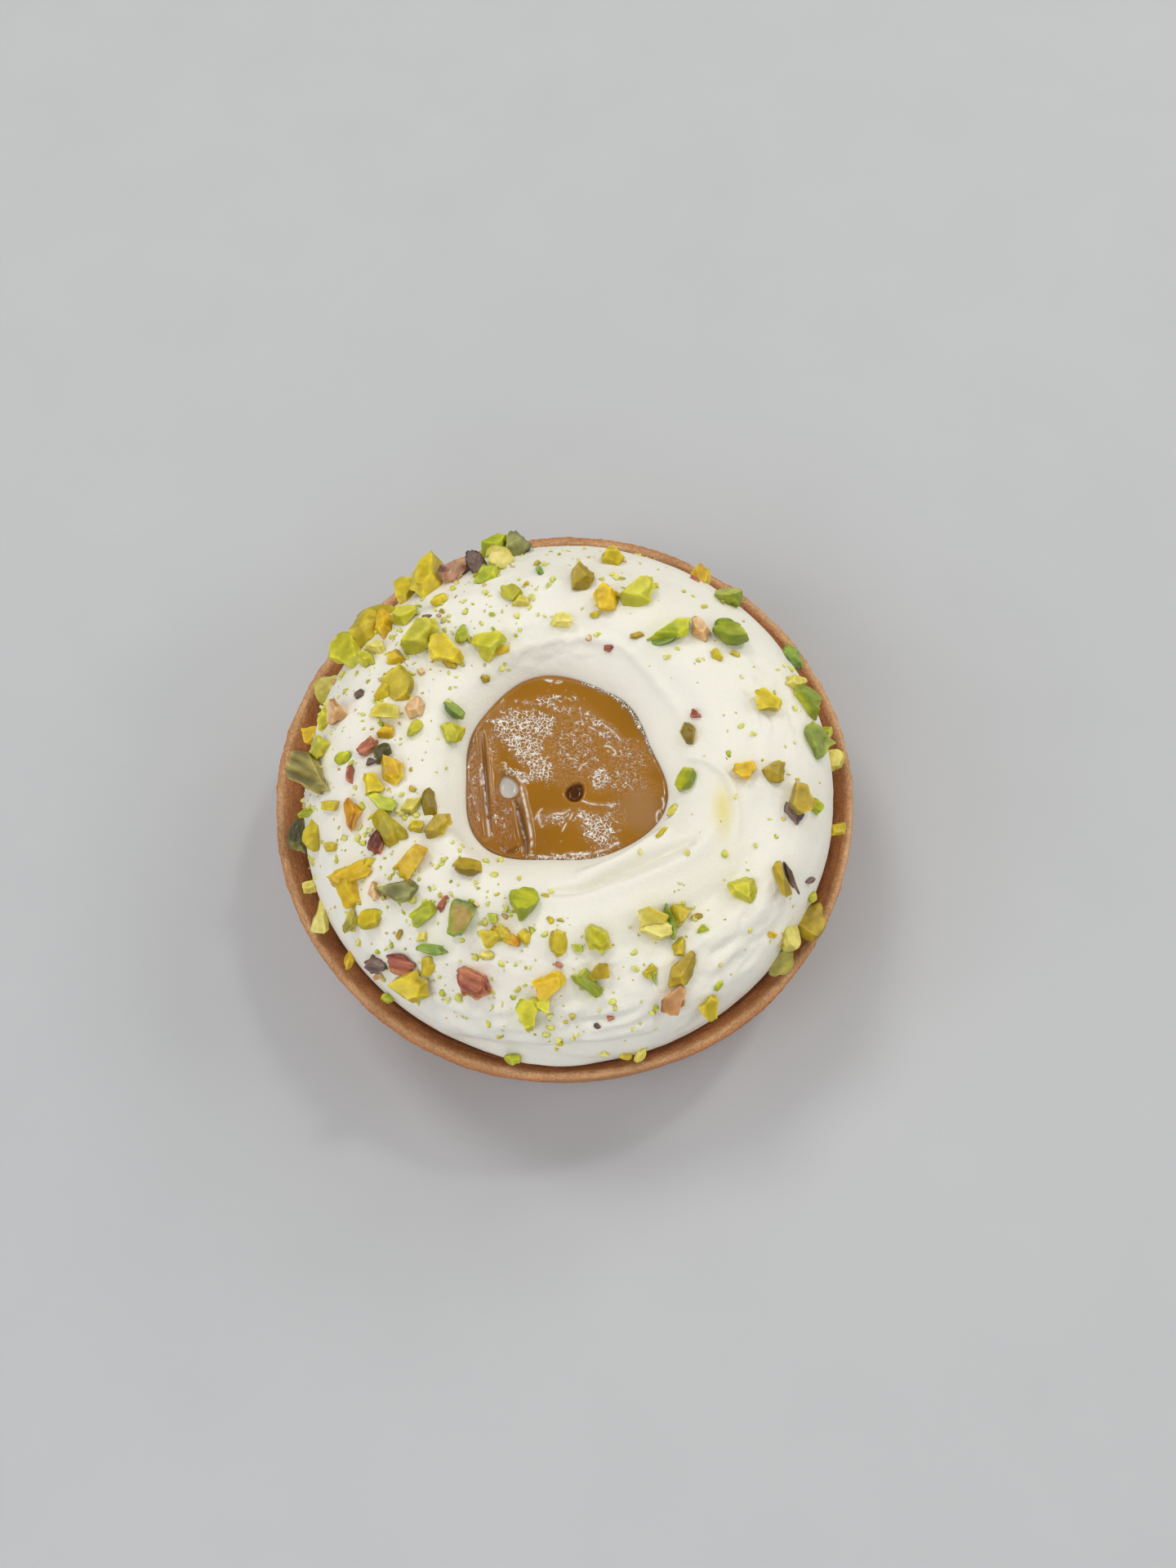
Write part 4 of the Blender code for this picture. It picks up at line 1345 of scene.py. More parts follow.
class Break(Enum):
    """How a kernel breaks: direction and depth of each blow, before chance bends it."""

    BLOCK = ((1.0, 0.1, 0.1, 0.50), (-1.0, 0.2, 0.1, 0.55), (0.1, 1.0, 0.0, 0.42),
             (0.0, -1.0, 0.2, 0.46), (0.1, 0.1, 1.0, 0.42), (0.0, 0.0, -1.0, 0.5),
             (0.8, 0.6, 0.5, 0.62))
    SHARD = ((1.0, 0.2, 0.1, 0.50), (-0.5, 0.9, 0.2, 0.36), (-0.5, -0.9, 0.1, 0.36),
             (0.2, 0.1, 1.0, 0.36), (0.0, 0.0, -1.0, 0.4), (-1.0, 0.1, 0.3, 0.55),
             (0.5, 0.9, 0.5, 0.55), (0.6, -0.8, 0.3, 0.6))
    LUMP = ((0.9, 0.4, 0.4, 0.58), (-0.9, 0.3, 0.3, 0.60), (0.2, -1.0, 0.4, 0.5),
            (-0.2, 0.9, 0.5, 0.5), (0.1, -0.2, 1.0, 0.5), (0.0, 0.0, -1.0, 0.5),
            (-0.6, -0.8, 0.3, 0.6))
    SLAB = ((0.1, 0.1, 1.0, 0.12), (1.0, 0.2, 0.3, 0.6), (-0.9, 0.3, 0.1, 0.7),
            (0.0, 0.0, -1.0, 0.75))
    DOME = ((0.0, 0.0, -1.0, 0.1), (1.0, 0.3, 0.2, 0.60), (-0.8, -0.6, 0.2, 0.66),
            (0.1, 0.9, 0.3, 0.7))
    CUP = ((0.2, 0.3, 1.0, 0.1), (1.0, 0.1, 0.0, 0.75), (-0.9, -0.5, 0.2, 0.6))
    STUMP = ((-1.0, 0.0, 0.7, 0.42), (1.0, 0.1, 0.0, 0.7), (0.0, 1.0, 0.3, 0.4),
             (0.0, -1.0, 0.3, 0.4), (0.0, 0.0, 1.0, 0.5), (0.0, 0.0, -1.0, 0.4))


COMMON_BREAKS = (Break.BLOCK, Break.LUMP, Break.LUMP, Break.SHARD, Break.SLAB, Break.DOME)
# The hollow breaks and how deep each is scooped
HOLLOW_BREAKS = {Break.CUP: 0.26, Break.STUMP: 0.28}

# Bearing and radius of the chunks whose break shows plainly, and that break
PLAIN_BREAKS: dict[tuple[float, float], Break] = {
    (239, 25.3): Break.STUMP, (249.3, 31.4): Break.BLOCK, (298.1, 23.8): Break.BLOCK,
    (124.4, 34): Break.BLOCK, (149.4, 33.9): Break.BLOCK, (117.2, 32.8): Break.BLOCK,
    (112.6, 32.2): Break.SLAB,
    (67.5, 26.2): Break.BLOCK, (330.2, 31.9): Break.SHARD, (106.6, 31.6): Break.CUP,
    (219.9, 27.5): Break.SHARD, (185, 22.3): Break.BLOCK, (216.3, 24.2): Break.BLOCK,
    (175, 32.4): Break.LUMP, (154.5, 24.5): Break.SLAB, (137.9, 26.1): Break.BLOCK,
    (135.5, 22.1): Break.BLOCK, (164, 24.8): Break.BLOCK, (17.5, 28): Break.BLOCK,
    (255.6, 20.5): Break.SLAB, (275.7, 29.6): Break.DOME, (209.3, 31.2): Break.SHARD,
    (181.3, 33.2): Break.BLOCK, (122.3, 19.1): Break.LUMP, (164.9, 15.4): Break.LUMP,
    (323.1, 28.6): Break.LUMP, (6.9, 33.6): Break.SHARD, (231.2, 19.4): Break.SLAB,
    (91, 19.8): Break.BLOCK, (101.4, 34.3): Break.LUMP, (51.3, 21.5): Break.SLAB,
    (296.3, 25.7): Break.BLOCK, (301.3, 25.4): Break.SLAB, (351.5, 16): Break.SLAB,
    (280, 24.6): Break.BLOCK,
}

# How far the same chunks narrow towards the end that their turn points at
TAPERS: dict[tuple[float, float], float] = {
    (255.6, 20.5): -0.6, (67.5, 26.2): 0.6, (91, 19.8): 0.7, (230, 27.3): -0.5,
    (209.3, 31.2): 0.4, (195.4, 28.2): -0.5, (232.5, 24.8): 0.7, (298.2, 31.4): 0.35,
    (211, 18.7): -0.3, (39.6, 28.8): 0.25, (52.3, 22.7): -0.3, (275.7, 29.6): 0.3,
    (330.2, 31.9): 0.4, (219.9, 27.5): 0.2,
}

# Bearing (deg), radius, length, width (mm) and turn of the long side (deg) of each chunk, and
# the height (mm) of the few that stand tall for their width
CHUNKS: dict[Kind, tuple[tuple[float, ...], ...]] = {
    Kind.YELLOW: (
        (188, 25, 2.9, 2.3, 110), (203.8, 24.3, 4.9, 3.0, -55), (195, 34.2, 4.4, 2.4, 100),
        (220.3, 32.3, 2.9, 2.5, 10), (124.4, 34, 6.8, 4.5, 100),
        (130, 35.2, 3.8, 3.5, 60), (138.4, 35, 5.2, 3.3, -10), (142.9, 34.2, 5.5, 4.0, 80),
        (135.5, 22.1, 4.3, 3.5, -5), (154.5, 24.5, 4.8, 3.6, -60),
        (78, 31.7, 3.2, 2.8, 60), (17.5, 28, 3.5, 2.7, 10), (268.5, 24.9, 3.3, 2.1, 88),
        (300.5, 36.3, 2.7, 2.4, 45), (237, 34.8, 4.5, 3.9, -40),
        (304.8, 25.1, 2.9, 2.4, 40), (249.9, 25.6, 2.4, 2.2, 20),
        (253.0, 25.0, 2.3, 1.9, -30)),
    Kind.CITRUS: (
        (175, 32.4, 3.2, 2.9, 90), (149.4, 33.9, 5.6, 4.2, -30, 2.6), (280, 24.6, 3.4, 3.0, -20),
        (262, 33.4, 3.6, 2.6, 75), (264.8, 32.0, 2.2, 2.1, 0), (135.6, 30.5, 3.6, 2.9, 10),
        (164.9, 15.4, 3.1, 2.6, 0), (323.1, 28.6, 3.6, 2.9, -40), (122.3, 19.1, 4.3, 3.9, 10),
        (67.5, 26.2, 5.4, 4.0, 60), (137.9, 26.1, 5.6, 3.9, 65), (151, 30.6, 2.9, 1.9, -40),
        (168, 20, 3.0, 1.4, 65), (167.4, 33, 3.2, 1.6, 85), (107.3, 25, 2.8, 2.0, -20)),
    Kind.GOLD: (
        (185, 22.3, 3.8, 3.0, 95), (216.3, 24.2, 4.2, 3.3, 65), (209.3, 31.2, 5.2, 2.6, 22),
        (213, 32.4, 3.4, 2.9, 80), (140.4, 32.1, 4.8, 2.3, -75), (76.5, 23.6, 4.2, 3.3, 80),
        (57.6, 35.7, 3.4, 2.4, 100), (356.3, 23.3, 2.7, 2.4, 60), (266.9, 29.8, 3.8, 2.8, 30)),
    Kind.PALE: (
        (209.9, 36.9, 4.4, 2.5, 80), (147.5, 30.4, 3.0, 1.8, 0),
        (156.4, 36.4, 4.7, 3.0, 65),
        (164, 24.8, 3.7, 3.0, 0), (106.6, 31.6, 3.3, 3.2, 0), (21.9, 33.4, 3.0, 2.1, 15),
        (5.9, 37, 3.1, 2.4, 75), (298.1, 23.8, 3.8, 2.1, 12, 2.7),
        (296.3, 25.7, 3.6, 2.1, 12, 2.6), (323.1, 36.4, 3.7, 2.9, 50)),
    Kind.LIME: (
        (195.1, 24.4, 3.9, 1.8, -20), (230, 27.3, 3.4, 2.4, 35), (106.7, 35.4, 4.1, 3.7, 0),
        (112, 29.6, 3.4, 2.4, 30), (49.2, 34.3, 3.9, 3.3, -60, 3.2), (52.3, 22.7, 5.9, 3.1, 18),
        (39.6, 28.8, 4.6, 3.7, -10), (17.2, 34.2, 4.6, 3.3, -25), (275.7, 29.6, 4.1, 2.1, -50),
        (255.6, 20.5, 4.5, 3.5, 75), (351.5, 16, 3.3, 2.3, 60)),
    Kind.OLIVE: (
        (217.7, 34.1, 2.9, 1.9, 60), (318.9, 37.8, 3.9, 2.5, 55)),
    Kind.PINE: (
        (30, 35.9, 3.7, 2.5, -60), (237, 30, 3.8, 1.4, -5),
        (154.3, 16.3, 3.1, 1.7, -35), (51.3, 21.5, 4.6, 1.3, 12, 1.6),
        (42.2, 29.6, 3.2, 1.0, -4, 2.0), (301.3, 25.4, 4.2, 0.8, -76, 3.1)),
    Kind.OCHRE: (
        (85, 26.4, 4.0, 3.0, 80), (13.1, 16.7, 2.8, 2.0, -50), (330.2, 31.9, 4.2, 2.0, -65, 1.5),
        (278.3, 28.5, 2.8, 1.9, 10), (298.2, 31.4, 4.9, 2.6, 58), (355.8, 27.4, 2.9, 2.8, 20),
        (329.2, 38, 4.7, 3.3, 75), (350.1, 30.6, 3.9, 3.1, -60), (231.2, 19.4, 3.5, 2.3, -10),
        (211, 18.7, 3.8, 2.7, 60), (200.3, 18.5, 3.6, 1.7, 100)),
    Kind.AMBER: (
        (195.4, 28.2, 4.2, 2.3, 95), (255.6, 25.3, 2.0, 1.4, -40), (251.4, 24.5, 2.2, 1.0, -8)),
    Kind.TAN: (
        (160.7, 20.9, 2.8, 2.5, 80), (167, 31, 3.0, 2.8, 90), (45.6, 26, 3.4, 2.5, -60)),
    Kind.SKIN: (
        (176.5, 25.7, 2.9, 1.9, 30), (205.5, 26.4, 2.8, 1.9, 70), (249.3, 31.4, 4.3, 3.5, -20, 3.0),
        (232.5, 33.6, 3.7, 2.4, -15)),
    Kind.BARK: ((117.2, 32.8, 4.3, 3.2, 78, 3.4),),
    Kind.RUST: ((293.7, 33.8, 3.9, 2.4, 75),),
    Kind.HUSK: ((239, 25.3, 4.3, 3.1, 65, 3.0), (6.9, 33.6, 4.2, 3.2, -45)),
    Kind.PLUM: ((112.6, 32.2, 4.2, 2.3, -52, 2.8), (227.4, 35.3, 2.9, 2.3, -10)),
    Kind.MOSS: (
        (219.9, 27.5, 5.4, 3.4, -12), (101.4, 34.3, 4.3, 3.6, 75, 3.4),
        (191.5, 37.4, 3.9, 2.6, 85), (178.4, 23.8, 2.5, 2.2, 30)),
    Kind.FIBRE: ((181.3, 33.2, 7.2, 4.0, -26, 2.2),),
}

# The same for the smaller bits
BITS: dict[Kind, tuple[tuple[float, ...], ...]] = {
    Kind.YELLOW: (
        (126.4, 29, 2.2, 1.6, 20), (191, 31, 2.5, 1.6, 5), (207.2, 21.1, 1.9, 1.6, -30),
        (200.5, 32.1, 1.9, 1.5, 20), (291.4, 29.9, 1.7, 1.4, 40),
        (209.1, 28.5, 1.6, 1.2, 60), (158.6, 25.9, 2.6, 1.8, 60), (79, 21, 1.3, 1.0, 0),
        (36, 25, 1.8, 1.3, -60), (34, 27.5, 1.3, 0.8, 0), (259, 24.5, 1.8, 1.5, -60),
        (238, 32, 2.4, 1.6, 90), (300.3, 28.6, 2.3, 1.6, 85), (291, 30, 1.9, 1.4, 0),
        (350.3, 37.9, 2.3, 1.9, -10), (331, 36.8, 1.5, 1.4, 0), (282, 37.7, 1.5, 1.2, 20),
        (322.8, 15.8, 2.0, 0.7, 40)),
    Kind.PALE: (
        (203, 37.5, 2.2, 2.0, 40), (91, 19.8, 2.5, 2.3, -30),
        (250, 27.8, 1.7, 1.2, -20), (233, 29.5, 1.3, 1.1, 0), (285, 38, 2.2, 1.2, 45),
        (278, 37.2, 1.1, 0.8, 0), (70, 38.3, 1.2, 0.7, 80), (104.7, 23.5, 2.2, 1.6, -10)),
    Kind.LIME: (
        (179, 29, 2.1, 1.6, 45), (189, 34.5, 2.7, 1.2, 0), (128, 22.5, 2.3, 1.8, 60),
        (333.2, 36.3, 1.6, 1.4, 0), (350.6, 33.3, 2.1, 1.9, 0), (11.7, 36.4, 2.7, 1.8, 70),
        (274, 25.5, 1.4, 1.0, 0), (248, 23.5, 1.3, 1.2, 0), (232, 38.3, 1.6, 1.3, 0),
        (260, 38.4, 2.0, 1.4, 0), (304, 35, 1.5, 0.9, 70), (308, 28.5, 1.4, 1.1, 0)),
    Kind.OLIVE: ((199.2, 20.7, 2.4, 1.8, 70), (269, 22, 0.9, 0.5, 0), (335.8, 15.4, 1.8, 1.0, 40)),
    Kind.PINE: (
        (180.8, 33.0, 2.6, 1.5, 0), (97.3, 28, 1.8, 1.0, -55), (291.6, 30.5, 2.6, 0.6, -75)),
    Kind.GOLD: (
        (168.2, 36.1, 2.5, 2.4, 60), (170.8, 23.8, 2.2, 1.9, 0), (147, 27, 2.3, 2.1, 0),
        (221, 37.8, 2.3, 1.2, 70), (120, 18.2, 3.0, 1.5, 10), (320, 34.8, 1.3, 0.9, 10)),
    Kind.OCHRE: (
        (193, 20, 1.0, 0.9, 0), (228, 31, 1.4, 0.8, 75), (139, 20.5, 1.9, 0.9, -20),
        (132, 16, 1.2, 1.1, 0), (61, 20, 1.9, 1.0, 0), (309, 26.7, 1.4, 0.8, 0)),
    Kind.TAN: ((216, 29.8, 2.2, 1.5, 110), (229, 36, 1.2, 1.0, 0)),
    Kind.SKIN: (
        (184, 28, 2.5, 1.3, 105), (232.5, 24.8, 2.2, 1.0, 50), (58, 34, 1.4, 0.7, -15),
        (70, 17, 1.2, 1.0, 0), (295, 34.3, 1.7, 1.3, 60), (269, 27.5, 1.0, 0.8, 0),
        (20, 18.2, 1.5, 1.2, -60), (280, 33.8, 0.9, 0.8, 0)),
    Kind.PLUM: (
        (161, 29, 1.4, 1.2, 0), (181, 25, 1.4, 1.0, 0), (132, 28, 1.4, 0.6, 20),
        (335, 35.2, 1.5, 0.8, 30), (277, 34.5, 0.8, 0.7, 0), (331.9, 32.8, 3.9, 0.8, -65, 1.5),
        (346.9, 30.3, 3.1, 1.8, -60)),
}


@dataclass(frozen=True)
class Kernel:
    """A broken kernel modelled once at unit size: corners, faces and what shows at each."""

    places: np.ndarray
    faces: np.ndarray
    skin: np.ndarray
    heart: np.ndarray
    facet: np.ndarray
    edge: np.ndarray


@dataclass(frozen=True)
class Chopper:
    """Breaks kernels by flat blows and cuts pieces of any size from them."""

    finish: CutPistachio = CutPistachio()
    bend: float = 0.26
    strength: tuple[float, float] = (0.88, 1.12)
    scoop_rim: float = 0.14
    scoop_floor: float = 0.75
    wear: float = 0.45
    skin_from: float = 0.9
    relief: float = 0.075
    nibbles: int = 8
    nibble_depth: float = 0.2
    nibble_size: tuple[float, float] = (0.18, 0.42)
    # How much corners near a broken edge are lightened, a painted light for the glow of thin edges
    facet_tone: float = 0.34
    facet_tones: int = 12
    painted_edge_light: float = 0.22
    strands: float = 1.1
    split: float = 0.26
    fray_from: float = 2.0

    def chop(self, rng: random.Random,
             shape: Break) -> tuple[bpy.types.Object, list[tuple[Vector, float]]]:
        """Breaks a ball of radius 1 by a shape's blows.

        Args:
            rng: The seeded source of draws.
            shape: How it breaks; a hollow one has its first break scooped.

        Returns:
            The broken ball, and the direction and depth of each blow.
        """
        deselect()
        bpy.ops.mesh.primitive_ico_sphere_add(subdivisions=4, radius=1.0)
        body = bpy.context.object
        bpy.ops.object.mode_set(mode="EDIT")
        blows = []
        for x, y, z, depth in shape.value:
            stray = Vector([rng.gauss(0.0, self.bend) for _ in range(3)])
            blow = (Vector((x, y, z)).normalized() + stray).normalized()
            depth *= rng.uniform(*self.strength)
            blows.append((blow, depth))
            bpy.ops.mesh.select_all(action="SELECT")
            bpy.ops.mesh.bisect(plane_co=blow * depth, plane_no=blow, use_fill=True,
                                clear_outer=True)
            if len(blows) == 1 and shape in HOLLOW_BREAKS:
                bpy.ops.mesh.inset(thickness=self.scoop_rim)
                bpy.ops.transform.translate(value=-blow * HOLLOW_BREAKS[shape])
                bpy.ops.transform.resize(value=(self.scoop_floor,) * 3)
        bpy.ops.object.mode_set(mode="OBJECT")
        return body, blows

    def kernel(self, rng: random.Random, shape: Break, level: int) -> Kernel:
        """Models one broken kernel.

        Args:
            rng: The seeded source of draws.
            shape: How it breaks.
            level: Fineness of its even faces: it is two to this power of them long.

        Returns:
            The kernel, fitted to a box of side 1.
        """
        body, blows = self.chop(rng, shape)
        even = body.modifiers.new("even", "REMESH")
        even.mode = "SHARP"
        even.octree_depth = level
        even.scale = 0.98
        even.use_remove_disconnected = False
        bpy.ops.object.modifier_apply(modifier=even.name)
        worn = body.modifiers.new("worn", "SMOOTH")
        worn.factor = self.wear
        worn.iterations = 1
        bpy.ops.object.modifier_apply(modifier=worn.name)
        places = corners(body)
        faces = np.array([tuple(face.vertices) for face in body.data.polygons])
        bpy.data.objects.remove(body)
        # How far each corner lies inside each break tells which face, edge or hollow it is on
        inside = np.stack([depth - places @ np.array(blow) for blow, depth in blows], axis=1)
        facet = np.where(inside.min(axis=1) < 0.05, inside.argmin(axis=1) + 1, 0)
        edge = np.clip(1.0 - np.sort(inside, axis=1)[:, 1] / 0.16, 0.0, 1.0)
        out = np.linalg.norm(places, axis=1)
        heart = ramp(inside[:, 0], 0.08, 0.12) * (facet == 0)
        heart *= (out < self.skin_from) * (shape in HOLLOW_BREAKS)
        skin = ramp(out, self.skin_from, 0.08)
        places = self.roughen(rng, places)
        low, high = places.min(axis=0), places.max(axis=0)
        return Kernel((places - (low + high) / 2.0) / (high - low), faces, skin, heart, facet, edge)

    def roughen(self, rng: random.Random, places: np.ndarray) -> np.ndarray:
        """Nibbles hollows into the faces and edges and breaks up their flatness.

        Args:
            rng: The seeded source of draws.
            places: Corners of the kernel.

        Returns:
            The moved corners.
        """
        for index in range(self.nibbles):
            tall = 0.25 if index % 2 else 1.0
            at = places[rng.randrange(len(places))]
            away = np.linalg.norm((places - at) * np.array((1.0, 1.0, tall)), axis=1)
            hollow = np.clip(1.0 - (away / rng.uniform(*self.nibble_size)) ** 2, 0.0, 1.0)
            places = places * (1.0 - self.nibble_depth * rng.uniform(0.3, 1.0) * hollow)[:, None]
        shift = rng.uniform(0.0, 50.0)
        rough = layered(places, (1.0, 1.7, shift), (0.5, 5.0, shift))
        return places * (1.0 + self.relief * rough[:, None])

    def kernels(self, seed: int, shapes: tuple[Break, ...], count: int,
                level: int) -> dict[Break, list[Kernel]]:
        """Models a few kernels of each shape.

        Args:
            seed: Starts the draws.
            shapes: The shapes to model.
            count: How many of each.
            level: Fineness of their faces.

        Returns:
            The kernels by shape.
        """
        rng = random.Random(seed)
        return {shape: [self.kernel(rng, shape, level) for _ in range(count)] for shape in shapes}

    def fray(self, places: np.ndarray, size: tuple[float, float, float],
             shift: float) -> np.ndarray:
        """Splits a piece's faces into strands and its ends into fibres.

        Args:
            places: Corners in mm.
            size: Length, width and height in mm.
            shift: Moves to another part of the noise.

        Returns:
            The moved corners.
        """
        strands = places * np.array([0.1, 1.0, 1.0])
        ends = np.clip(2.0 * np.abs(places[:, 0]) / size[0], 0.0, 1.0) ** 2
        split = layered(strands, (1.0, self.strands, shift), (0.5, 2.2 * self.strands, shift))
        places = places + np.array([0.0, 0.0, self.split * size[2]]) * split[:, None]
        tips = grain(strands * np.array([0.0, 1.0, 1.0]), 1.4 * self.strands, shift + 9.0)
        places[:, 0] += 0.14 * size[0] * ends * tips * np.sign(places[:, 0])
        return places

    def piece(self, rng: random.Random, kernel: Kernel, size: tuple[float, float, float],
              kind: Kind, taper: float = 0.0) -> tuple[np.ndarray, np.ndarray, np.ndarray]:
        """Cuts one piece and colours its flesh and its skin.

        Args:
            rng: The seeded source of draws.
            kernel: The broken kernel that it is copied from.
            size: Length, width and height in mm.
            kind: The piece's kind.
            taper: How far it narrows towards the end that its turn points at.

        Returns:
            Corners in mm, faces, and a linear colour for each corner.
        """
        nut = kind.value
        flip = np.array([rng.choice((-1.0, 1.0)), rng.choice((-1.0, 1.0)), 1.0])
        places = kernel.places * flip * np.array(size)
        faces = kernel.faces if flip.prod() > 0 else kernel.faces[:, ::-1]
        fibres = np.array([0.15, 2.2, 2.2]) if nut.fibrous else np.ones(3)
        shift = rng.uniform(0.0, 50.0)
        mottle = layered(places * fibres, (1.0, 0.5, shift), (0.5, 1.5, shift))
        if taper:
            end = 0.5 + math.copysign(1.0, taper) * places[:, 0] / size[0]
            places[:, 1] *= 1.0 + abs(taper) * (0.35 - end)
        if nut.fibrous and size[0] > self.fray_from:
            places = self.fray(places, size, shift)
        tones = np.array([rng.uniform(-self.facet_tone, self.facet_tone)
                          for _ in range(self.facet_tones)])
        mottle = 0.45 + 0.9 * mottle + tones[kernel.facet]
        flesh, edge, skin = nut.tones
        colours = tint(np.array(linear(flesh)), edge, np.clip(mottle, 0.0, 1.0))
        # Painted light: corners near a broken edge are lightened, for the glow of the thin edges
        colours *= 1.0 + self.painted_edge_light * kernel.edge[:, None]
        colours = tint(colours, skin, kernel.skin * nut.peel)
        colours = tint(colours, nut.heart, 0.8 * kernel.heart)
        return places, faces, colours * rng.uniform(0.94, 1.08)


@dataclass
class NutTopping:
    """The chopped pistachios: chunks and bits at their places, crumbs by a seeded rule."""

    outline: Outline
    surface: BVHTree
    chopper: Chopper = Chopper()
    growth: float = 1.12
    height: tuple[float, float] = (0.65, 0.9)
    chunk_length: float = 2.75
    chunk_height: float = 1.2
    sunk: float = 0.27
    lift: float = 0.6
    clear: float = 1.5
    edge_band: float = 1.5
    overhang: float = 0.45
    rim_lean: float = 0.35
    upright: float = 0.9
    perch: float = 0.5
    crumbs: int = 950
    crumb_size: tuple[float, float] = (0.25, 1.05)
    crumb_ring: tuple[float, float] = (15.5, 36.4)
    # Bearing and spread of the heaps of crumbs, and how thickly they lie elsewhere
    crumb_heaps: tuple[tuple[float, float], ...] = ((150.0, 55.0), (225.0, 60.0))
    crumb_least: float = 0.12
    seed: int = 11
    places: list[tuple[Vector, float]] = field(default_factory=list)
    middles: list[tuple[Vector, float]] = field(default_factory=list)

    def rest(self, bearing: float, radius: float, reach: float) -> tuple[Vector, Vector]:
        """Finds where a piece sits: on the cream, or at its edge, leaning out over the rim.

        Args:
            bearing: Degrees round the tart.
            radius: Distance from the axis.
            reach: The piece's half-extent away from the axis.

        Returns:
            The seat and the direction that is up there.
        """
        turn = math.radians(bearing)
        outward = Vector((math.cos(turn), math.sin(turn), 0.0))
        edge, least = self.outline.cream_radius, self.outline.rim_height + self.clear
        if radius > edge - self.edge_band:
            radius = min(radius, edge + self.outline.edge_stray(bearing) + self.overhang * reach)
        point, normal, _, _ = self.surface.ray_cast(outward * radius + Vector((0.0, 0.0, 60.0)),
                                                    Vector((0.0, 0.0, -1.0)))
        if point is None or point.z < least:
            point = outward * radius + Vector((0.0, 0.0, least))
            normal = (outward * self.rim_lean + Vector((0.0, 0.0, 1.0))).normalized()
        return point, normal

    def place(self, rng: random.Random, kernels: dict[Break, list[Kernel]],
              row: tuple[float, ...], kind: Kind) -> tuple[np.ndarray, np.ndarray, np.ndarray]:
        """Cuts one piece and presses it in at its place.

        Args:
            rng: The seeded source of draws.
            kernels: The broken kernels to copy from, by how they broke.
            row: Bearing, radius, length, width, turn and, for a few, height.
            kind: The piece's kind.

        Returns:
            Corners in mm, faces, and a linear colour for each corner.
        """
        bearing, radius, length, width, turn, *tall = row
        length, width = length * self.growth, width * self.growth
        height = width * rng.uniform(*self.height)
        if length > self.chunk_length:
            height = max(self.chunk_height, height)
        height = tall[0] if tall else height
        aside = math.radians(turn - bearing)
        reach = 0.5 * math.hypot(length * math.cos(aside), width * math.sin(aside))
        point, slope = self.rest(bearing, radius, reach)
        normal = (slope + Vector((0.0, 0.0, self.upright))).normalized()
        along = Vector((math.cos(math.radians(turn)), math.sin(math.radians(turn)), 0.0))
        along = (along - normal * along.dot(normal)).normalized()
        frame = np.array(Matrix((along, normal.cross(along), normal)).transposed())
        middle = point + normal * height * (0.5 - self.sunk)
        middle.z += self.perch * reach * math.sin(slope.angle(normal))
        shape = PLAIN_BREAKS.get(row[:2], rng.choice(COMMON_BREAKS))
        kernel = rng.choice(kernels.get(shape) or kernels[Break.LUMP])
        places, faces, colours = self.chopper.piece(rng, kernel, (length, width, height), kind,
                                                    TAPERS.get(row[:2], 0.0))
        places = places @ frame.T + np.array(middle)
        # A piece that reaches out over the rim is raised clear of it
        far = from_axis(places).max() > self.outline.cream_radius + 0.6
        floor = self.outline.rim_height + self.lift
        if far and places[:, 2].min() < floor:
            places[:, 2] += floor - places[:, 2].min()
        self.places.append((middle, 0.5 * length))
        return places, faces, colours

    def chopped(self, table: dict[Kind, tuple], kernels: dict[Break, list[Kernel]],
                name: str) -> list[bpy.types.Object]:
        """Makes one piece for each kind in a table.

        Args:
            table: Rows for each kind.
            kernels: The broken kernels to copy from, by how they broke.
            name: First part of the pieces' names.

        Returns:
            The pieces, in mm.
        """
        return [joined(f"{name}_{kind.name.lower()}",
                       [self.place(random.Random(f"{self.seed} {row[:2]}"), kernels, row, kind)
                        for row in rows], self.chopper.finish.layer)
                for kind, rows in table.items()]

    def crumb_rows(self) -> list[tuple[float, float, float, float, float]]:
        """Draws the crumbs' rows, thickest on the left where most nuts fell.

        Returns:
            Bearing, radius, length, width and turn of each crumb.
        """
        rng = random.Random(self.seed + 1)
        inner, outer = self.crumb_ring
        small, large = self.crumb_size
        rows = []
        while len(rows) < self.crumbs:
            bearing = rng.uniform(0.0, 360.0)
            radius = math.sqrt(rng.uniform(inner ** 2, outer ** 2))
            heap = max(lump(bearing, *heap) for heap in self.crumb_heaps)
            thick = self.crumb_least + (1.0 - self.crumb_least) * heap
            thick *= 0.35 + 0.65 * blend(16.0, 24.0, radius)
            if rng.random() < thick:
                # Squaring the draw makes most crumbs small
                length = small + (large - small) * rng.random() ** 2.0
                rows.append((bearing, radius, length, length * rng.uniform(0.5, 0.95),
                             rng.uniform(0.0, 180.0)))
        return rows

    def crumbled(self, kernels: dict[Break, list[Kernel]]) -> bpy.types.Object:
        """Makes the crumbs as one piece.

        Args:
            kernels: The broken kernels to copy from, by how they broke.

        Returns:
            The piece, in mm.
        """
        rng = random.Random(self.seed + 2)
        kinds = (Kind.CRUMB,) * 12 + (Kind.PALE, Kind.YELLOW, Kind.LIME, Kind.OLIVE, Kind.TAN)
        return joined("nut_crumbs", [self.place(rng, kernels, row, rng.choice(kinds))
                                     for row in self.crumb_rows()], self.chopper.finish.layer)

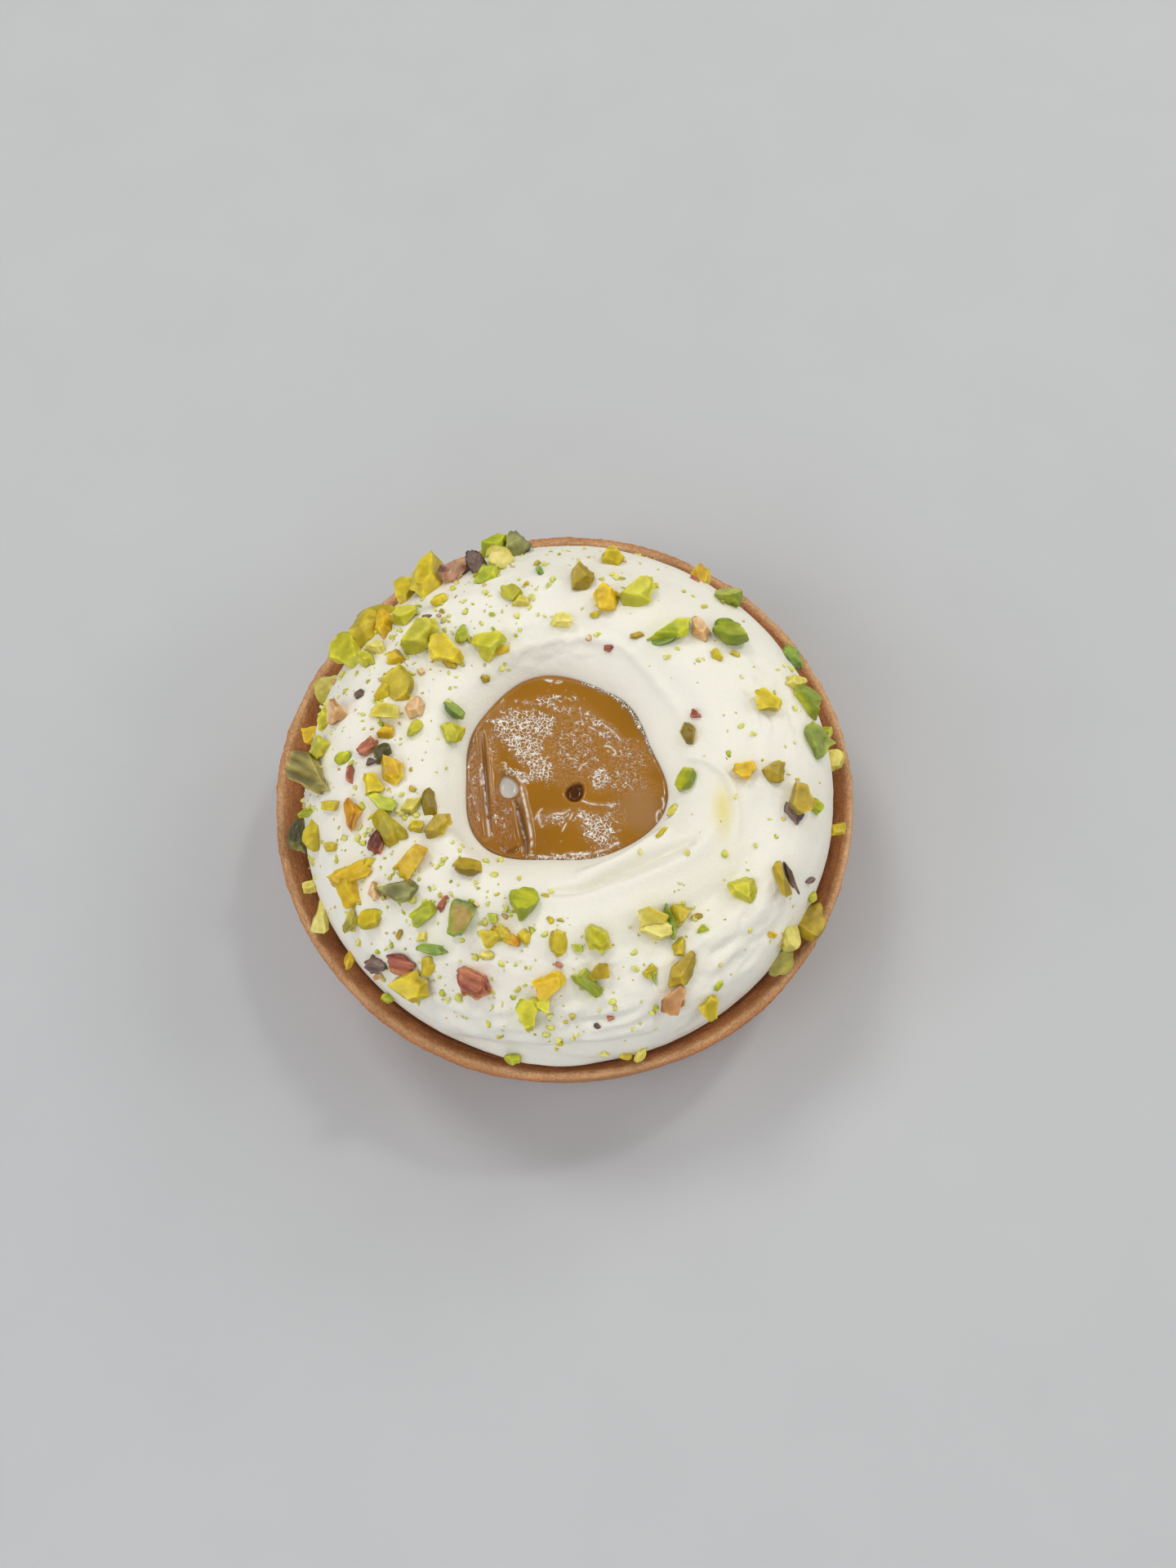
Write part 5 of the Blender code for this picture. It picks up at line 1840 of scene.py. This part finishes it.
    def build(self) -> list[bpy.types.Object]:
        """Builds all the topping's pieces and gives them their material.

        Returns:
            The pieces, in mm.
        """
        chopper, few = self.chopper, (Break.BLOCK, Break.LUMP, Break.SHARD)
        pieces = self.chopped(
            CHUNKS, chopper.kernels(self.seed, tuple(Break), count=3, level=4), "chunks")
        self.middles = list(self.places)
        pieces += self.chopped(BITS, chopper.kernels(self.seed + 1, few, count=3, level=3), "bits")
        pieces.append(self.crumbled(chopper.kernels(self.seed + 2, few, count=2, level=2)))
        material = self.chopper.finish.build()
        for piece in pieces:
            piece.data.materials.append(material)
        return pieces


# --------------------------------------------------------------------------- studio

@dataclass(frozen=True)
class Lamp:
    """A soft square light aimed at the tart, sizes in metres."""

    name: str
    place: tuple[float, float, float]
    side: float
    watts: float
    colour: str = "FFFFFF"


@dataclass
class Studio:
    """Camera, floor and lights."""

    camera_mm: tuple[float, float, float] = (3.06, -71.73, 209.16)
    tilt: float = 21.0
    lens: float = 33.75
    sensor: float = 36.0
    nearest: float = 0.01
    floor: StudioFloor = StudioFloor()
    floor_side: float = 6.0
    sky: str = "EEF1F5"
    sky_strength: float = 0.05
    lamps: tuple[Lamp, ...] = (
        Lamp("key", (0.40, 0.42, 0.94), 0.10, 1.4, "FFFCF6"),
        Lamp("far_right", (0.66, 0.66, 0.55), 0.5, 2.5, "FFFDF8"),
        Lamp("far_left", (-0.42, 0.46, 0.92), 0.3, 2.85, "FFFDF8"),
        Lamp("far", (0.0, 0.80, 0.75), 0.6, 1.1, "FFFDF8"),
        Lamp("left", (-0.90, -0.30, 0.55), 0.8, 3.6, "FBFCFF"),
        Lamp("near", (-0.10, -0.95, 0.45), 0.6, 1.8, "FBFCFF"),
        Lamp("near_left", (-0.40, -0.42, 0.93), 0.5, 1.9, "FBFCFF"),
        Lamp("near_right", (0.67, -0.67, 0.55), 0.6, 1.1, "FBFCFF"),
        Lamp("right", (0.95, 0.0, 0.55), 0.6, 2.6, "FFFDF8"),
        Lamp("top", (0.0, 0.0, 1.10), 0.5, 0.3, "FFFDF8"),
    )

    def add_camera(self) -> None:
        """Adds the camera where the photograph was taken from."""
        data = bpy.data.cameras.new("camera")
        data.lens = self.lens
        data.sensor_width = self.sensor
        data.clip_start = self.nearest
        camera = bpy.data.objects.new("camera", data)
        camera.location = Vector(self.camera_mm) * METRES_PER_MM
        camera.rotation_euler = (math.radians(self.tilt), 0.0, 0.0)
        bpy.context.scene.collection.objects.link(camera)
        bpy.context.scene.camera = camera

    def add_floor(self) -> None:
        """Adds the floor, which isn't part of the tart."""
        deselect()
        bpy.ops.mesh.primitive_plane_add(size=self.floor_side)
        floor = bpy.context.object
        floor.name = "floor"
        floor.data.materials.append(self.floor.build())

    def add_lamps(self) -> None:
        """Adds the lights and the even light of the room."""
        for lamp in self.lamps:
            data = bpy.data.lights.new(lamp.name, "AREA")
            data.size = lamp.side
            data.energy = lamp.watts
            data.color = linear(lamp.colour)
            light = bpy.data.objects.new(lamp.name, data)
            light.location = lamp.place
            light.rotation_euler = (-Vector(lamp.place)).to_track_quat("-Z", "Y").to_euler()
            bpy.context.scene.collection.objects.link(light)
        world = bpy.data.worlds.new("room")
        world.use_nodes = True
        room = world.node_tree.nodes["Background"]
        room.inputs["Color"].default_value = (*linear(self.sky), 1.0)
        room.inputs["Strength"].default_value = self.sky_strength
        bpy.context.scene.world = world

    def build(self) -> None:
        """Sets up the whole studio."""
        self.add_camera()
        self.add_floor()
        self.add_lamps()
        bpy.context.scene.view_settings.view_transform = "Standard"


def main() -> None:
    """Builds the tart's pieces round the frame, then the studio."""
    logging.basicConfig(level=logging.INFO, format="%(name)s: %(message)s")
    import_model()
    outline = Outline()
    shell = PastryShell(outline).build()
    pool = PralinePool(outline).build()
    whipped = WhippedCream(outline)
    cream = whipped.build()
    topping = NutTopping(outline, whipped.base)
    nuts = topping.build()
    whipped.dress(cream, topping.middles)
    seat(shell, "pastry_shell")
    seat(pool, "praline_centre")
    seat(cream, "whipped_cream")
    for piece in nuts:
        seat(piece, "whipped_cream")
    Studio().build()


if __name__ == "__main__":
    main()
